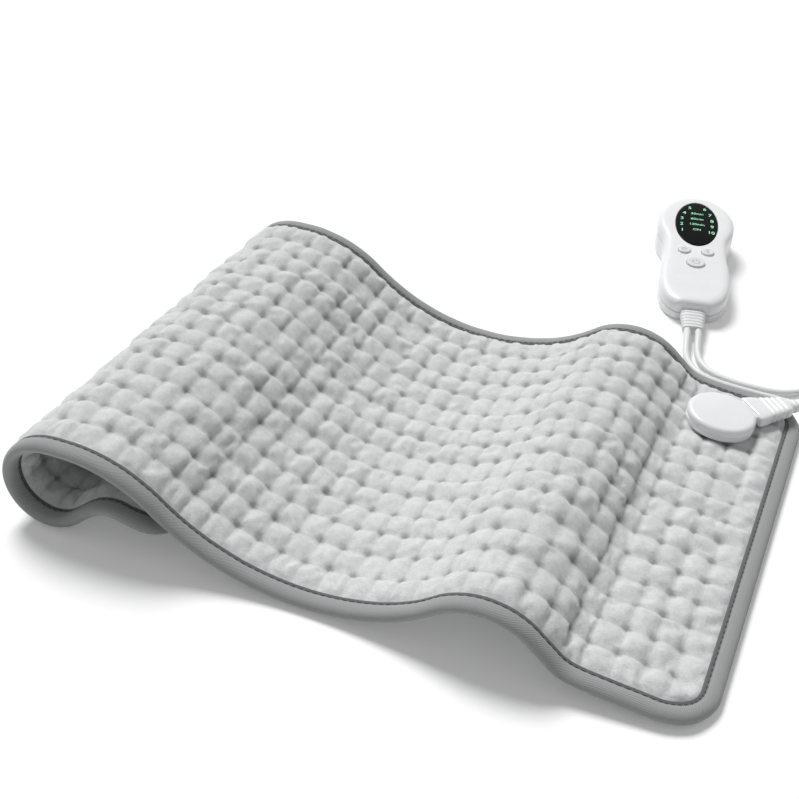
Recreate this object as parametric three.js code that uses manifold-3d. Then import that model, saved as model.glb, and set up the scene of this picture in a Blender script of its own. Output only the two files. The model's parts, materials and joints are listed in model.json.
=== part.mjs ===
// Electric heating pad with a plug-in lead and a hand controller, in millimetres, +Z up.
// The pad lies in a wave with one end rolled under. The controller lies flat behind it.
import * as THREE from 'three';
import { mergeVertices } from 'three/addons/utils/BufferGeometryUtils.js';
import Module from 'manifold-3d';

const wasm = await Module();
wasm.setup();

// Fits shared by all pieces
const GAP = 0.3;
const SLIDE_GAP = 0.3;
// How far a cutting body runs past the face it cuts
const OVERCUT = 1;

// Facets round each kind of form
const DISC_SIDES = 24;
const ROUND_SIDES = 16;
const BORE_SIDES = 12;
const HOLE_SIDES = 10;
const SCREW_SIDES = 8;
const CORNER_STEPS = 4;

// Pad plan
const PAD_LENGTH = 540;
const PAD_WIDTH = 300;
const CORNER_RADIUS = 28;
const SEAM_INSET = 11;
const CELLS_ACROSS = 15;
// Wave of the pad from its plug end: quilting rows in each bend, and the bend's turn in degrees
const WAVE = [
  [3, 0], [1, -48.2], [3.5, 92], [2, -22], [7, -54.8], [4, 50.8], [4.2, 189], [1, 26], [1.5, -71], [0.8, 0],
];
const PLUG_END_SLOPE = 5.8;
const HALVING_ANGLE = 27;
const PLUG_END_X = 31;

// Pad layers, as heights from the pad's middle
const FELT_THICKNESS = 0.5;
const WIRE_THICKNESS = 1.2;
const CROWN_RISE = 2;
const COVER_MARGIN = 2.3;
const TOP_DIMPLE = 2.8;
const FELT_TOP = 0.2;
const FELT_BOTTOM = FELT_TOP - FELT_THICKNESS;
const WIRE_TOP = FELT_BOTTOM - GAP;
const WIRE_BOTTOM = WIRE_TOP - WIRE_THICKNESS;
const TOP_UNDERSIDE = FELT_TOP + GAP;
const RECESS_FLOOR = WIRE_BOTTOM - GAP;
const BOTTOM_THICKNESS = 2.3;
const BOTTOM_FACE = RECESS_FLOOR - BOTTOM_THICKNESS;
const BINDING_CLOTH = 0.5;
const BINDING_INNER = COVER_MARGIN + GAP;
const BINDING_OUTER = BINDING_INNER + BINDING_CLOTH;
const BINDING_WEB = 2.7;
const BINDING_ROUND = 1.4;
const COVER_FIT = 0.8;
const COVER_INSET = BINDING_WEB + COVER_FIT;
const RECESS_MARGIN = 2;
const RECESS_INSET = SEAM_INSET + RECESS_MARGIN;
const FELT_INSET = RECESS_INSET + GAP;

// Heating wire
const WIRE_FIRST_ROW = 3;
const WIRE_RUNS = 12;
const WIRE_ROWS_APART = 2;
const WIRE_EDGE_GAP = 32;
const WIRE_RETURN_GAP = 20;
const WIRE_CORNER = 4;
const CUTOUT_ROW = 2.5;
const CUTOUT_LENGTH = 10;
const CUTOUT_WIDTH = 6;

// Socket disc on the pad, and the plug that enters its side
const SOCKET_FROM_END = 48;
const SOCKET_FROM_BACK = 50;
const SOCKET_DIAMETER = 42;
const SOCKET_HEIGHT = 9;
const SOCKET_BOSS_DIAMETER = 16;
const SOCKET_PLATE_DIAMETER = 34;
const SOCKET_PLATE_THICKNESS = 1.6;
const SOCKET_EDGE_ROUND = 3.2;
const SOCKET_EDGE_RISE = 2.56;
const SOCKET_EDGE_ANGLES = [0, 30, 60, 90];
const PLUG_TURN = 45;
const MOUTH_DEPTH = 12;
const NOSE_WIDTH = 18;
const NOSE_HEIGHT = 5.4;
const PIN_DIAMETER = 2.2;
const PIN_LENGTH = 13;
const PIN_SPACING = 9;
const PIN_ROOT = 3;
const SLEEVE_WALL = 0.5;
const PLUG_BODY_LENGTH = 29;
const PLUG_WIDTH = 24;
const PLUG_WAIST = 14;
const PLUG_HEIGHT = 8;
const PLUG_RELIEF_LENGTH = 20;
const PLUG_LIP_LENGTH = 1.5;
const PLUG_LIP_SIDE = 1;
const PLUG_LIP_RISE = 0.6;
const PLUG_SHOULDER = 8;
const PLUG_SHOULDER_TAPER = 1;
const PLUG_GRIP_FROM = 9;
const PLUG_GRIP_TO_END = 5;
const PLUG_GRIP_TAPER = 1.6;
const PLUG_GRIP_WAIST = 0.6;
const PLUG_GRIP_RIBS = 3;
const PLUG_GRIP_GROOVE = 0.7;
const PLUG_NECK_LENGTH = 1;
const PLUG_NECK_RISE = 0.4;
const PLUG_NECK_END = 1;
const NOSE_ROOT = 3;
const PLUG_RELIEF_SIDE = 2.2;
const PLUG_RELIEF_RISE = 0.4;
const PLUG_RELIEF_RIBS = 4;
const PLUG_RELIEF_GROOVE = 0.5;
const SOCKET_SCREWS = 3;
const SOCKET_SCREW_CIRCLE = 9.6;
const SMALL_SCREW = 2.2;
const SMALL_SCREW_HEAD = 4;

// Controller
const CASE_LENGTH = 150;
const HEAD_WIDTH = 57;
const WAIST_WIDTH = 45;
const HIP_WIDTH = 50;
const TAIL_WIDTH = 24;
const HEAD_FROM_TOP = 36;
const WAIST_FROM_TOP = 72;
const HIP_FROM_TOP = 115;
// Pull of the outline's curve from the tail to the hip
const TAIL_PULL = 0.15;
const TAIL_SWELL = 0.75;
const HIP_PULL = 0.55;
const OUTLINE_STEPS = 4;
const CASE_WALL = 1.8;
const FRONT_DEPTH = 10;
// Rounding of the front and of the back: level, and how far the outline is drawn in there
const FRONT_ROUND = [[5, 0], [8, 0.9], [9.4, 2.6], [FRONT_DEPTH, 5]];
const FRONT_WALL_LEVEL = 5;
const FRONT_HOLLOW_ROUND = 1.6;
const REAR_ROUND = [[0, 2.2], [0.8, 0.8], [2.4, 0]];
const REAR_HOLLOW_ROUND = 1;
const REAR_HOLLOW_LEVEL = 2;
const REAR_AT_TAIL = 6.5;
const FACE_TILT = 5;
const CASE_TAIL_X = -60.9;
const CASE_TAIL_Y = 237.5;
const CASE_TURN = 102.2;
const WINDOW_LENGTH = 64;
const WINDOW_WIDTH = 32;
const WINDOW_FROM_TOP = 42;
const WINDOW_LEDGE = 1.4;
const WINDOW_RIM = 0.3;
const WINDOW_DOME = 0.7;
const WINDOW_DOME_INSET = 2;
const MODULE_LENGTH = 48;
const MODULE_WIDTH = 22;
const SMALL_BUTTON = 9;
const SMALL_BUTTON_SPREAD = 17;
const SMALL_BUTTON_FROM_TOP = 82;
const POWER_BUTTON = 13;
const POWER_FROM_TOP = 98;
const BUTTON_PROUD = 1.2;
const BUTTON_TRAVEL = 0.8;
const BUTTON_FLANGE = 1;
const BUTTON_CHAMFER = 0.4;
const BUTTON_CROWN_INSET = 0.6;
const SWITCH_WIDTH = 6;
const PLUNGER_DIAMETER = 3;
const PLUNGER_HEIGHT = 0.8;
const PLUNGER_ROOT = 0.2;
const BOARD_THICKNESS = 1.6;
const BOARD_LEVEL = 1;
const BOARD_INSET = 4.6;
const BOARD_FROM_TOP = 120;
// Parts under the board: distance from the head to their far end, length, side edges and depth
const CHIP = { fromTop: 66, length: 12, right: -6, left: 6, depth: 1.6 };
const TRIAC = { fromTop: 48, length: 10, right: -13, left: -8.4, depth: 9 };
const TRIAC_TAB = { fromTop: 48, length: 10, right: -9, left: -7.4, from: 8, depth: 11 };
const CAPACITOR = { fromTop: 48, length: 16, right: 4, left: 11, depth: 9.5 };
const FUSE = { fromTop: 98, length: 20, side: -7, diameter: 4.6 };
const CASE_SCREW = 2.6;
const CASE_SCREW_HEAD = 5;
const CASE_BOSS = 6.4;
// Case screws: distance from the head, and offset to the side
const CASE_SCREWS_FROM_TOP = [[116, 15.5], [116, -15.5], [22, 17], [22, -17]];
const CASE_SCREWS = CASE_SCREWS_FROM_TOP.map(([fromTop, side]) => [CASE_LENGTH - fromTop, side]);
const COUNTERBORE = 3.2;
const CASE_HEAD_HEIGHT = 2;
const CASE_BOSS_ROOT = 0.6;
const PILOT_ROOF = 1;
const POST_FOOT = 1;
const RELIEF_LENGTH = 23;
const RELIEF_WIDTH = 18;
const RELIEF_HEIGHT = 8.5;
const RELIEF_RIBS = 6;
const RELIEF_TONGUE = 17;
const RELIEF_NECK = 1;
const RELIEF_POCKET = 2;
const RELIEF_TAPER = 2.2;
const RELIEF_GROOVE = 0.9;
const RELIEF_STEP = 0.1;

// Leads: both leave the controller side by side and lie behind the pad
const CORD_DIAMETER = 4.8;
const CORD_SPACING = 7.5;
const CORD_SIDES = 8;
const COIL_SIDES = 6;
const COIL_STEPS = 16;
const COIL_CLEARANCE = 0.7;
const COIL_PITCH = CORD_DIAMETER + COIL_CLEARANCE;
const SLEEVE_OVER_CORD = 0.6;
const SLEEVE_END = CORD_DIAMETER / 2 + SLEEVE_OVER_CORD;
const TIE_THICKNESS = 0.8;
const TIE_WIDTH = 6;
const FLOOR_CLEARANCE = 0.05;
const FLOOR_REST = CORD_DIAMETER / 2 + FLOOR_CLEARANCE;
const COIL_REST = FLOOR_REST + TIE_THICKNESS + GAP;
const PAD_COIL = { x: 75, y: 190.4, inner: 19, turns: 4.75, start: -90, sense: 1 };
const MAINS_COIL = { x: 69, y: 275, inner: 19, turns: 7, start: 180, sense: -1 };
const PAD_TIE_ANGLE = 20;
const MAINS_TIE_ANGLE = -60;
// Lengthwise steps of each free stretch of lead
const PAD_LEAD_STEPS = 20;
const PAD_END_STEPS = 9;
const MAINS_LEAD_STEPS = 30;
const MAINS_END_STEPS = 8;
// Free stretches as points chosen by hand: x, y and the rise above a cord that lies on the floor
const PAD_ROUTE = [
  [-56, 196, 2.15], [-53.5, 186, 0.55], [-48.5, 176, 0], [-40, 167.5, 0], [-28, 162.5, 0], [-14, 160.6, 0],
  [0, 160, 0], [14, 159.6, 0], [28, 159, 0], [40, 158.6, 0.2], [52, 158.2, 0.8],
];
const PAD_END_ROUTE = [[41.6, 172, 7.15], [39.4, 164.5, 8.75]];
const MAINS_ROUTE = [
  [-48.6, 197.6, 2.15], [-46, 188.5, 0.55], [-40.5, 179, 0], [-31.5, 171.5, 0], [-20, 168, 0], [-8, 166.8, 0],
  [4, 167, 0], [15, 170, 0], [24, 177, 0], [29.4, 187, 0], [31, 199, 0], [31, 212, 0],
  [31, 225, 0], [31, 238, 0], [31, 251, 0.4],
];
const MAINS_END_ROUTE = [[32.4, 291, 9.15], [36.4, 295.4, 12.55], [42, 296.2, 15.75]];
const COIL_EXIT_DRIFT = 0.2;

// Wall plug, lying on the mains coil
const WALL_PLUG_LENGTH = 25;
const WALL_PLUG_WIDTH = 22;
const WALL_PLUG_HEIGHT = 17;
const WALL_RELIEF_LENGTH = 20;
const WALL_RELIEF_END = [5, 4.6];
const WALL_RELIEF_RIBS = 4;
const WALL_RELIEF_GROOVE = 0.6;
// Grip of the wall plug: distance from its cord end, and shares of its half width and half height
const WALL_GRIP = [[0, 0.55, 0.6], [4, 0.7, 0.8], [12, 0.78, 0.84]];
const WALL_FACE_LENGTH = 6;
const WALL_FACE_CHAMFER = 0.8;
const WALL_FACE_CHAMFER_LENGTH = 1;
const WALL_PLUG_X = 52;
const WALL_PLUG_Y = 296;
const PRONG_LENGTH = 17;
const PRONG_WIDTH = 6.3;
const PRONG_THICKNESS = 1.5;
const PRONG_SPACING = 12.7;
const PRONG_ROOT = 5;
const PRONG_TIP_LENGTH = 2;
const PRONG_TIP_WIDTH = 0.7;
const PRONG_TIP_THICKNESS = 0.6;

// Section shapes: how far flats reach to a cut corner, and the grip rib's profile along one pitch
const FLAT_SHARE = 0.55;
const RIB_PROFILE = [[0, 0], [0.55, 0], [0.62, 1], [0.93, 1]];
// Handle length of a curve that stands for a quarter circle
const QUARTER_ARC = 0.5523;

const WHITE_PLASTIC = { color: 0xf1f2f3, roughness: 0.35, metalness: 0 };
const PLUSH = { color: 0xdcdfe0, roughness: 0.95, metalness: 0 };
const BINDING_GREY = { color: 0x9b9ea1, roughness: 0.9, metalness: 0 };
const FELT_WHITE = { color: 0xe8e6e0, roughness: 1, metalness: 0 };
const CORD_WHITE = { color: 0xe9eaea, roughness: 0.5, metalness: 0 };
const DARK_GLASS = { color: 0x0b0d0e, roughness: 0.08, metalness: 0 };
const BLACK_PLASTIC = { color: 0x1c1d1f, roughness: 0.5, metalness: 0 };
const BOARD_GREEN = { color: 0x2f6b45, roughness: 0.6, metalness: 0 };
const STEEL = { color: 0xb9bcc0, roughness: 0.3, metalness: 1 };
const BRASS = { color: 0xc9a759, roughness: 0.3, metalness: 1 };
const BUTTON_GREY = { color: 0xe3e5e7, roughness: 0.45, metalness: 0 };

const radians = THREE.MathUtils.degToRad;
const part = new THREE.Group();
const cordNames = new Set();

// Small tools: solids from vertex lists, joins and cuts

function meshFrom(vertices, triangles) {
  const positions = vertices.flatMap((p) => [p.x, p.y, p.z]);
  let volume = 0;
  for (const [a, b, c] of triangles) {
    volume += vertices[a].dot(new THREE.Vector3().crossVectors(vertices[b], vertices[c]));
  }
  const order = volume < 0 ? triangles.map(([a, b, c]) => [a, c, b]) : triangles;
  const geometry = new THREE.BufferGeometry();
  geometry.setAttribute('position', new THREE.Float32BufferAttribute(positions, 3));
  geometry.setIndex(order.flat());
  return geometry;
}

function bare(geometry) {
  const copy = geometry.clone();
  copy.deleteAttribute('normal');
  copy.deleteAttribute('uv');
  return mergeVertices(copy, 1e-4);
}

function solid(geometry) {
  const merged = bare(geometry);
  return new wasm.Manifold(new wasm.Mesh({
    numProp: 3,
    vertProperties: new Float32Array(merged.attributes.position.array),
    triVerts: new Uint32Array(merged.index.array),
  }));
}

function geometryOf(body) {
  const mesh = body.getMesh();
  const geometry = new THREE.BufferGeometry();
  geometry.setAttribute('position', new THREE.Float32BufferAttribute(mesh.vertProperties, 3));
  geometry.setIndex(Array.from(mesh.triVerts));
  return geometry;
}

function cut(geometry, ...tools) {
  return geometryOf(tools.reduce((body, tool) => body.subtract(solid(tool)), solid(geometry)));
}

function join(geometry, ...others) {
  return geometryOf(others.reduce((body, other) => body.add(solid(other)), solid(geometry)));
}

function common(geometry, other) {
  return geometryOf(solid(geometry).intersect(solid(other)));
}

// A loft through rings of equally many points, capped at both ends or closed on itself
function loft(rings, { closed = false, cap = null } = {}) {
  const count = rings[0].length;
  const triangles = [];
  const last = closed ? rings.length : rings.length - 1;
  for (let i = 0; i < last; i += 1) {
    const near = i * count;
    const far = ((i + 1) % rings.length) * count;
    for (let j = 0; j < count; j += 1) {
      const next = (j + 1) % count;
      triangles.push([near + j, near + next, far + next], [near + j, far + next, far + j]);
    }
  }
  if (!closed) {
    const fan = cap ?? Array.from({ length: count - 2 }, (_, k) => [0, k + 1, k + 2]);
    const end = (rings.length - 1) * count;
    fan.forEach(([a, b, c]) => triangles.push([a, c, b], [end + a, end + b, end + c]));
  }
  return meshFrom(rings.flat(), triangles);
}

function cylinder(diameter, from, to, sides = ROUND_SIDES) {
  const shape = new THREE.CylinderGeometry(diameter / 2, diameter / 2, to - from, sides);
  return shape.rotateX(Math.PI / 2).translate(0, 0, (from + to) / 2);
}

function box(x0, x1, y0, y1, z0, z1) {
  const shape = new THREE.BoxGeometry(x1 - x0, y1 - y0, z1 - z0);
  return shape.translate((x0 + x1) / 2, (y0 + y1) / 2, (z0 + z1) / 2);
}

// A bar along X whose section is a rectangle with cut corners: [x, half width, half height] stations
function taperedBar(stations) {
  const corner = FLAT_SHARE;
  return loft(stations.map(([x, w, h]) => [
    [w, -h * corner], [w, h * corner], [w * corner, h], [-w * corner, h],
    [-w, h * corner], [-w, -h * corner], [-w * corner, -h], [w * corner, -h],
  ].map(([y, z]) => new THREE.Vector3(x, y, z))));
}

// Stations of a tapered sleeve with grip ribs, from x0 to x1
function ribbedStations(x0, x1, start, end, ribs, groove) {
  const stations = [];
  const step = (x1 - x0) / ribs;
  for (let k = 0; k < ribs; k += 1) {
    for (const [along, share] of RIB_PROFILE) {
      const t = (k + along) / ribs;
      const w = THREE.MathUtils.lerp(start[0], end[0], t) - share * groove;
      const h = THREE.MathUtils.lerp(start[1], end[1], t) - share * groove;
      stations.push([x0 + (k + along) * step, w, h]);
    }
  }
  stations.push([x1, end[0], end[1]]);
  return stations;
}

function add(group, name, geometry, look, onCord = false) {
  const mesh = new THREE.Mesh(geometry, new THREE.MeshStandardMaterial(look));
  mesh.name = name;
  group.add(mesh);
  if (onCord) cordNames.add(name);
  return mesh;
}

// Wave: the pad's middle surface as a chain of flat facets between stations along its length

const ROWS = WAVE.reduce((sum, [rows]) => sum + rows, 0);
const ROW_PITCH = (PAD_LENGTH - 2 * SEAM_INSET) / ROWS;
const COLUMN_PITCH = (PAD_WIDTH - 2 * SEAM_INSET) / CELLS_ACROSS;

function headingAt(s) {
  let heading = 180 - PLUG_END_SLOPE;
  let left = s - SEAM_INSET;
  for (const [rows, turn] of WAVE) {
    const share = THREE.MathUtils.clamp(left / (rows * ROW_PITCH), 0, 1);
    heading += turn * share;
    left -= rows * ROW_PITCH;
  }
  return heading;
}

function rowTurn(row) {
  const start = SEAM_INSET + row * ROW_PITCH;
  const middle = start + ROW_PITCH / 2;
  const end = start + ROW_PITCH;
  return Math.abs(headingAt(middle) - headingAt(start)) + Math.abs(headingAt(end) - headingAt(middle));
}

const HALVED = Array.from({ length: ROWS }, (_, row) => rowTurn(row) > HALVING_ANGLE);

function waveStations() {
  const lengths = [0, SEAM_INSET];
  for (let row = 0; row < ROWS; row += 1) {
    const start = SEAM_INSET + row * ROW_PITCH;
    if (HALVED[row]) lengths.push(start + ROW_PITCH / 2);
    lengths.push(start + ROW_PITCH);
  }
  lengths.push(PAD_LENGTH);
  const facets = lengths.slice(1).map((s, i) => radians(headingAt((s + lengths[i]) / 2)));
  const stations = [{ s: 0, x: PLUG_END_X, z: 0 }];
  facets.forEach((heading, i) => {
    const run = lengths[i + 1] - lengths[i];
    const x = stations[i].x + run * Math.cos(heading);
    const z = stations[i].z + run * Math.sin(heading);
    stations.push({ s: lengths[i + 1], x, z });
  });
  stations.forEach((station, i) => {
    const a = facets[Math.max(i - 1, 0)];
    const b = facets[Math.min(i, facets.length - 1)];
    const mitre = 1 + Math.cos(a - b);
    station.nx = (Math.sin(a) + Math.sin(b)) / mitre;
    station.nz = -(Math.cos(a) + Math.cos(b)) / mitre;
  });
  return stations;
}

const STATIONS = waveStations();
// Arc lengths of the creases between the rounded corners
const CREASES = STATIONS.map(({ s }) => s).filter((s) => s > CORNER_RADIUS && s < PAD_LENGTH - CORNER_RADIUS);
const CORNER_ANGLES = Array.from({ length: CORNER_STEPS + 1 }, (_, k) => (90 * k) / CORNER_STEPS);

function padPoint(s, y, n) {
  const found = STATIONS.findIndex((station) => station.s >= s);
  const i = THREE.MathUtils.clamp(found < 0 ? STATIONS.length - 1 : found, 1, STATIONS.length - 1);
  const a = STATIONS[i - 1];
  const b = STATIONS[i];
  const t = (s - a.s) / (b.s - a.s);
  const mix = (key) => THREE.MathUtils.lerp(a[key], b[key], t);
  return new THREE.Vector3(mix('x') + n * mix('nx'), y, mix('z') + n * mix('nz'));
}

// Half width at arc length s of a rounded rectangle drawn in from the pad's edge
function halfWidth(s, inset) {
  const radius = CORNER_RADIUS - inset;
  const fromEnd = Math.min(s, PAD_LENGTH - s) - inset;
  const short = Math.max(radius - fromEnd, 0);
  return PAD_WIDTH / 2 - inset - radius + Math.sqrt(Math.max(radius * radius - short * short, 0));
}

// A flat layer that follows the wave, between two heights
function padSlab(inset, low, high) {
  const radius = CORNER_RADIUS - inset;
  const corner = CORNER_ANGLES.map((angle) => inset + radius * (1 - Math.cos(radians(angle))));
  const lengths = [...corner, ...corner.map((s) => PAD_LENGTH - s)];
  const all = [...new Set([...lengths, ...CREASES])].sort((a, b) => a - b);
  return loft(all.map((s) => {
    const w = halfWidth(s, inset);
    return [padPoint(s, -w, low), padPoint(s, w, low), padPoint(s, w, high), padPoint(s, -w, high)];
  }));
}

// Moves a plan point in a corner onto the corner's arc
function roundCorner(s, y, inset) {
  const radius = CORNER_RADIUS - inset;
  const cs = THREE.MathUtils.clamp(s, CORNER_RADIUS, PAD_LENGTH - CORNER_RADIUS);
  const limit = PAD_WIDTH / 2 - CORNER_RADIUS;
  const cy = THREE.MathUtils.clamp(y, -limit, limit);
  const away = Math.hypot(s - cs, y - cy);
  const corner = s !== cs && y !== cy;
  const scale = corner ? radius / away : 1;
  return [cs + (s - cs) * scale, cy + (y - cy) * scale];
}

// A cover with a seam margin round it, on a flat inner face.
// With a crown height given, each quilting square rises to it in the middle.
function padCover(inner, margin, dimple, columnLines, crown = null) {
  const rows = [COVER_INSET];
  for (let row = 0; row <= ROWS; row += 1) rows.push(SEAM_INSET + row * ROW_PITCH);
  rows.push(PAD_LENGTH - COVER_INSET);
  const half = PAD_WIDTH / 2;
  const columns = [COVER_INSET - half];
  columnLines.forEach((column) => columns.push(SEAM_INSET - half + column * COLUMN_PITCH));
  columns.push(half - COVER_INSET);
  const lastRow = rows.length - 1;
  const lastColumn = columns.length - 1;
  const vertices = [];
  const triangles = [];
  const known = new Map();
  const point = (key, s, y, n) => {
    if (!known.has(key)) {
      known.set(key, vertices.length);
      vertices.push(padPoint(s, y, n));
    }
    return known.get(key);
  };
  const onEdge = (r, c) => r === 0 || c === 0 || r === lastRow || c === lastColumn;
  const onSeam = (r, c) => r <= 1 || c <= 1 || r >= lastRow - 1 || c >= lastColumn - 1;
  const plan = (r, c) => roundCorner(rows[r], columns[c], onEdge(r, c) ? COVER_INSET : SEAM_INSET);
  const node = (r, c) => {
    const corner = onEdge(r, c) || ((r === 1 || r === lastRow - 1) && (c === 1 || c === lastColumn - 1));
    const [s, y] = corner ? plan(r, c) : [rows[r], columns[c]];
    return point(`${r},${c}`, s, y, onSeam(r, c) ? margin : dimple);
  };
  const inside = (r, c) => point(`in ${r},${c}`, ...plan(r, c), inner);
  const halved = (r) => r > 0 && r < lastRow - 1 && HALVED[r - 1];
  const between = (r, c, n, label) => {
    const s = (rows[r] + rows[r + 1]) / 2;
    return point(`${label} ${r},${c}`, s, columns[c], n);
  };
  for (let r = 0; r < lastRow; r += 1) {
    for (let c = 0; c < lastColumn; c += 1) {
      const outline = [node(r, c)];
      if (halved(r)) outline.push(between(r, c, onSeam(2, c) ? margin : dimple, 'side'));
      outline.push(node(r + 1, c), node(r + 1, c + 1));
      if (halved(r)) outline.push(between(r, c + 1, onSeam(2, c + 1) ? margin : dimple, 'side'));
      outline.push(node(r, c + 1));
      const cell = r > 0 && c > 0 && r < lastRow - 1 && c < lastColumn - 1;
      if (cell && crown !== null) {
        const s = (rows[r] + rows[r + 1]) / 2;
        const y = (columns[c] + columns[c + 1]) / 2;
        const top = point(`crown ${r},${c}`, s, y, crown);
        outline.forEach((a, k) => triangles.push([a, outline[(k + 1) % outline.length], top]));
      } else if (halved(r)) {
        const [a, p, b, d, q, e] = outline;
        triangles.push([a, p, q], [a, q, e], [p, b, d], [p, d, q]);
      } else {
        const [a, b, d, e] = outline;
        triangles.push([a, b, d], [a, d, e]);
      }
    }
  }
  const wall = (a, b, innerA, innerB) => triangles.push([a, b, innerB], [a, innerB, innerA]);
  for (let c = 0; c < lastColumn; c += 1) {
    wall(node(0, c), node(0, c + 1), inside(0, c), inside(0, c + 1));
    wall(node(lastRow, c + 1), node(lastRow, c), inside(lastRow, c + 1), inside(lastRow, c));
    triangles.push([inside(1, 0), inside(0, c), inside(0, c + 1)]);
    triangles.push([inside(lastRow - 1, 0), inside(lastRow, c + 1), inside(lastRow, c)]);
  }
  triangles.push([inside(1, 0), inside(0, lastColumn), inside(1, lastColumn)]);
  triangles.push([inside(lastRow - 1, 0), inside(lastRow - 1, lastColumn), inside(lastRow, lastColumn)]);
  for (let r = 0; r < lastRow; r += 1) {
    const left = [[node(r, 0), inside(r, 0)]];
    const right = [[node(r, lastColumn), inside(r, lastColumn)]];
    if (halved(r)) {
      left.push([between(r, 0, margin, 'side'), between(r, 0, inner, 'inner side')]);
      right.push([between(r, lastColumn, margin, 'side'), between(r, lastColumn, inner, 'inner side')]);
    }
    left.push([node(r + 1, 0), inside(r + 1, 0)]);
    right.push([node(r + 1, lastColumn), inside(r + 1, lastColumn)]);
    for (let k = 0; k + 1 < left.length; k += 1) {
      wall(left[k + 1][0], left[k][0], left[k + 1][1], left[k][1]);
      wall(right[k][0], right[k + 1][0], right[k][1], right[k + 1][1]);
      if (r > 0 && r < lastRow - 1) {
        const [a, b] = [left[k][1], right[k][1]];
        const [c, d] = [right[k + 1][1], left[k + 1][1]];
        triangles.push([a, b, c], [a, c, d]);
      }
    }
  }
  return meshFrom(vertices, triangles);
}

// Edge binding: a folded cloth strip swept round the pad's outline
function edgeBinding() {
  const section = [
    [SEAM_INSET, BINDING_OUTER], [BINDING_ROUND, BINDING_OUTER], [0, 0],
    [BINDING_ROUND, -BINDING_OUTER], [SEAM_INSET, -BINDING_OUTER], [SEAM_INSET, -BINDING_INNER],
    [BINDING_WEB, -BINDING_INNER], [BINDING_WEB, BINDING_INNER], [SEAM_INSET, BINDING_INNER],
  ];
  const half = PAD_WIDTH / 2;
  const path = [];
  const corner = (s, y, from) => {
    CORNER_ANGLES.forEach((turn) => {
      const angle = radians(from + turn);
      path.push({ s, y, os: Math.cos(angle), oy: Math.sin(angle), reach: CORNER_RADIUS });
    });
  };
  CREASES.forEach((s) => path.push({ s, y: -half, os: 0, oy: -1, reach: 0 }));
  corner(PAD_LENGTH - CORNER_RADIUS, CORNER_RADIUS - half, -90);
  corner(PAD_LENGTH - CORNER_RADIUS, half - CORNER_RADIUS, 0);
  [...CREASES].reverse().forEach((s) => path.push({ s, y: half, os: 0, oy: 1, reach: 0 }));
  corner(CORNER_RADIUS, half - CORNER_RADIUS, 90);
  corner(CORNER_RADIUS, CORNER_RADIUS - half, 180);
  return loft(path.map(({ s, y, os, oy, reach }) => section.map(([d, n]) => (
    padPoint(s + os * (reach - d), y + oy * (reach - d), n)
  ))), { closed: true });
}

// Heating wire: crosswise runs between the rows, with one run back along the edge to the socket
function heatingWire() {
  const socketY = PAD_WIDTH / 2 - SOCKET_FROM_BACK;
  const turnY = PAD_WIDTH / 2 - WIRE_EDGE_GAP;
  const returnY = PAD_WIDTH / 2 - WIRE_RETURN_GAP;
  const runAt = (k) => SEAM_INSET + (WIRE_FIRST_ROW + k * WIRE_ROWS_APART + 0.5) * ROW_PITCH;
  const creases = STATIONS.map((station) => station.s);
  const leadY = SOCKET_BOSS_DIAMETER / 4;
  const startS = SOCKET_FROM_END + SOCKET_BOSS_DIAMETER / 2 + 2 * GAP;
  const bendS = SEAM_INSET + WIRE_FIRST_ROW * ROW_PITCH;
  const path = [[startS, socketY - leadY], [bendS, socketY - leadY]];
  path.push([runAt(0) - WIRE_CORNER, socketY - leadY], [runAt(0), socketY - leadY - WIRE_CORNER]);
  for (let k = 0; k < WIRE_RUNS; k += 1) {
    const side = k % 2 ? 1 : -1;
    path.push([runAt(k), side * (turnY - WIRE_CORNER)]);
    if (k + 1 < WIRE_RUNS) {
      const from = runAt(k) + WIRE_CORNER;
      const to = runAt(k + 1) - WIRE_CORNER;
      const turn = [from, ...creases.filter((s) => s > from && s < to), to];
      turn.forEach((s) => path.push([s, side * turnY]));
      path.push([runAt(k + 1), side * (turnY - WIRE_CORNER)]);
    }
  }
  const last = runAt(WIRE_RUNS - 1);
  path.push([last, returnY - WIRE_CORNER], [last - WIRE_CORNER, returnY]);
  const backFrom = last - 2 * WIRE_CORNER;
  const backTo = runAt(0) - ROW_PITCH / 4;
  creases.filter((s) => s < backFrom && s > backTo).reverse().forEach((s) => path.push([s, returnY]));
  path.push([bendS, returnY], [bendS - WIRE_CORNER, returnY - WIRE_CORNER]);
  path.push([bendS - WIRE_CORNER, socketY + leadY + WIRE_CORNER], [startS, socketY + leadY]);
  const half = WIRE_THICKNESS / 2;
  const rings = path.map(([s, y], i) => {
    const before = path[Math.max(i - 1, 0)];
    const after = path[Math.min(i + 1, path.length - 1)];
    const into = new THREE.Vector2(s - before[0], y - before[1]);
    const out = new THREE.Vector2(after[0] - s, after[1] - y);
    const a = into.lengthSq() > 0 ? into.normalize() : out.clone().normalize();
    const b = out.lengthSq() > 0 ? out.normalize() : a;
    const side = new THREE.Vector2(-a.y - b.y, a.x + b.x).multiplyScalar(half / (1 + a.dot(b)));
    return [[1, WIRE_BOTTOM], [1, WIRE_TOP], [-1, WIRE_TOP], [-1, WIRE_BOTTOM]].map(([w, n]) => (
      padPoint(s + w * side.x, y + w * side.y, n)
    ));
  });
  return loft(rings);
}

// Frame of the socket on the pad: local X is the way the plug pulls out, local Z stands off the pad
const socketFrame = new THREE.Group();
const SOCKET_CENTRE = padPoint(SOCKET_FROM_END, PAD_WIDTH / 2 - SOCKET_FROM_BACK, 0);
socketFrame.position.copy(SOCKET_CENTRE);
socketFrame.rotation.set(0, radians(PLUG_END_SLOPE), 0);
const plugFrame = new THREE.Group();
plugFrame.rotation.z = radians(PLUG_TURN);
socketFrame.add(plugFrame);
socketFrame.updateMatrixWorld(true);

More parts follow.
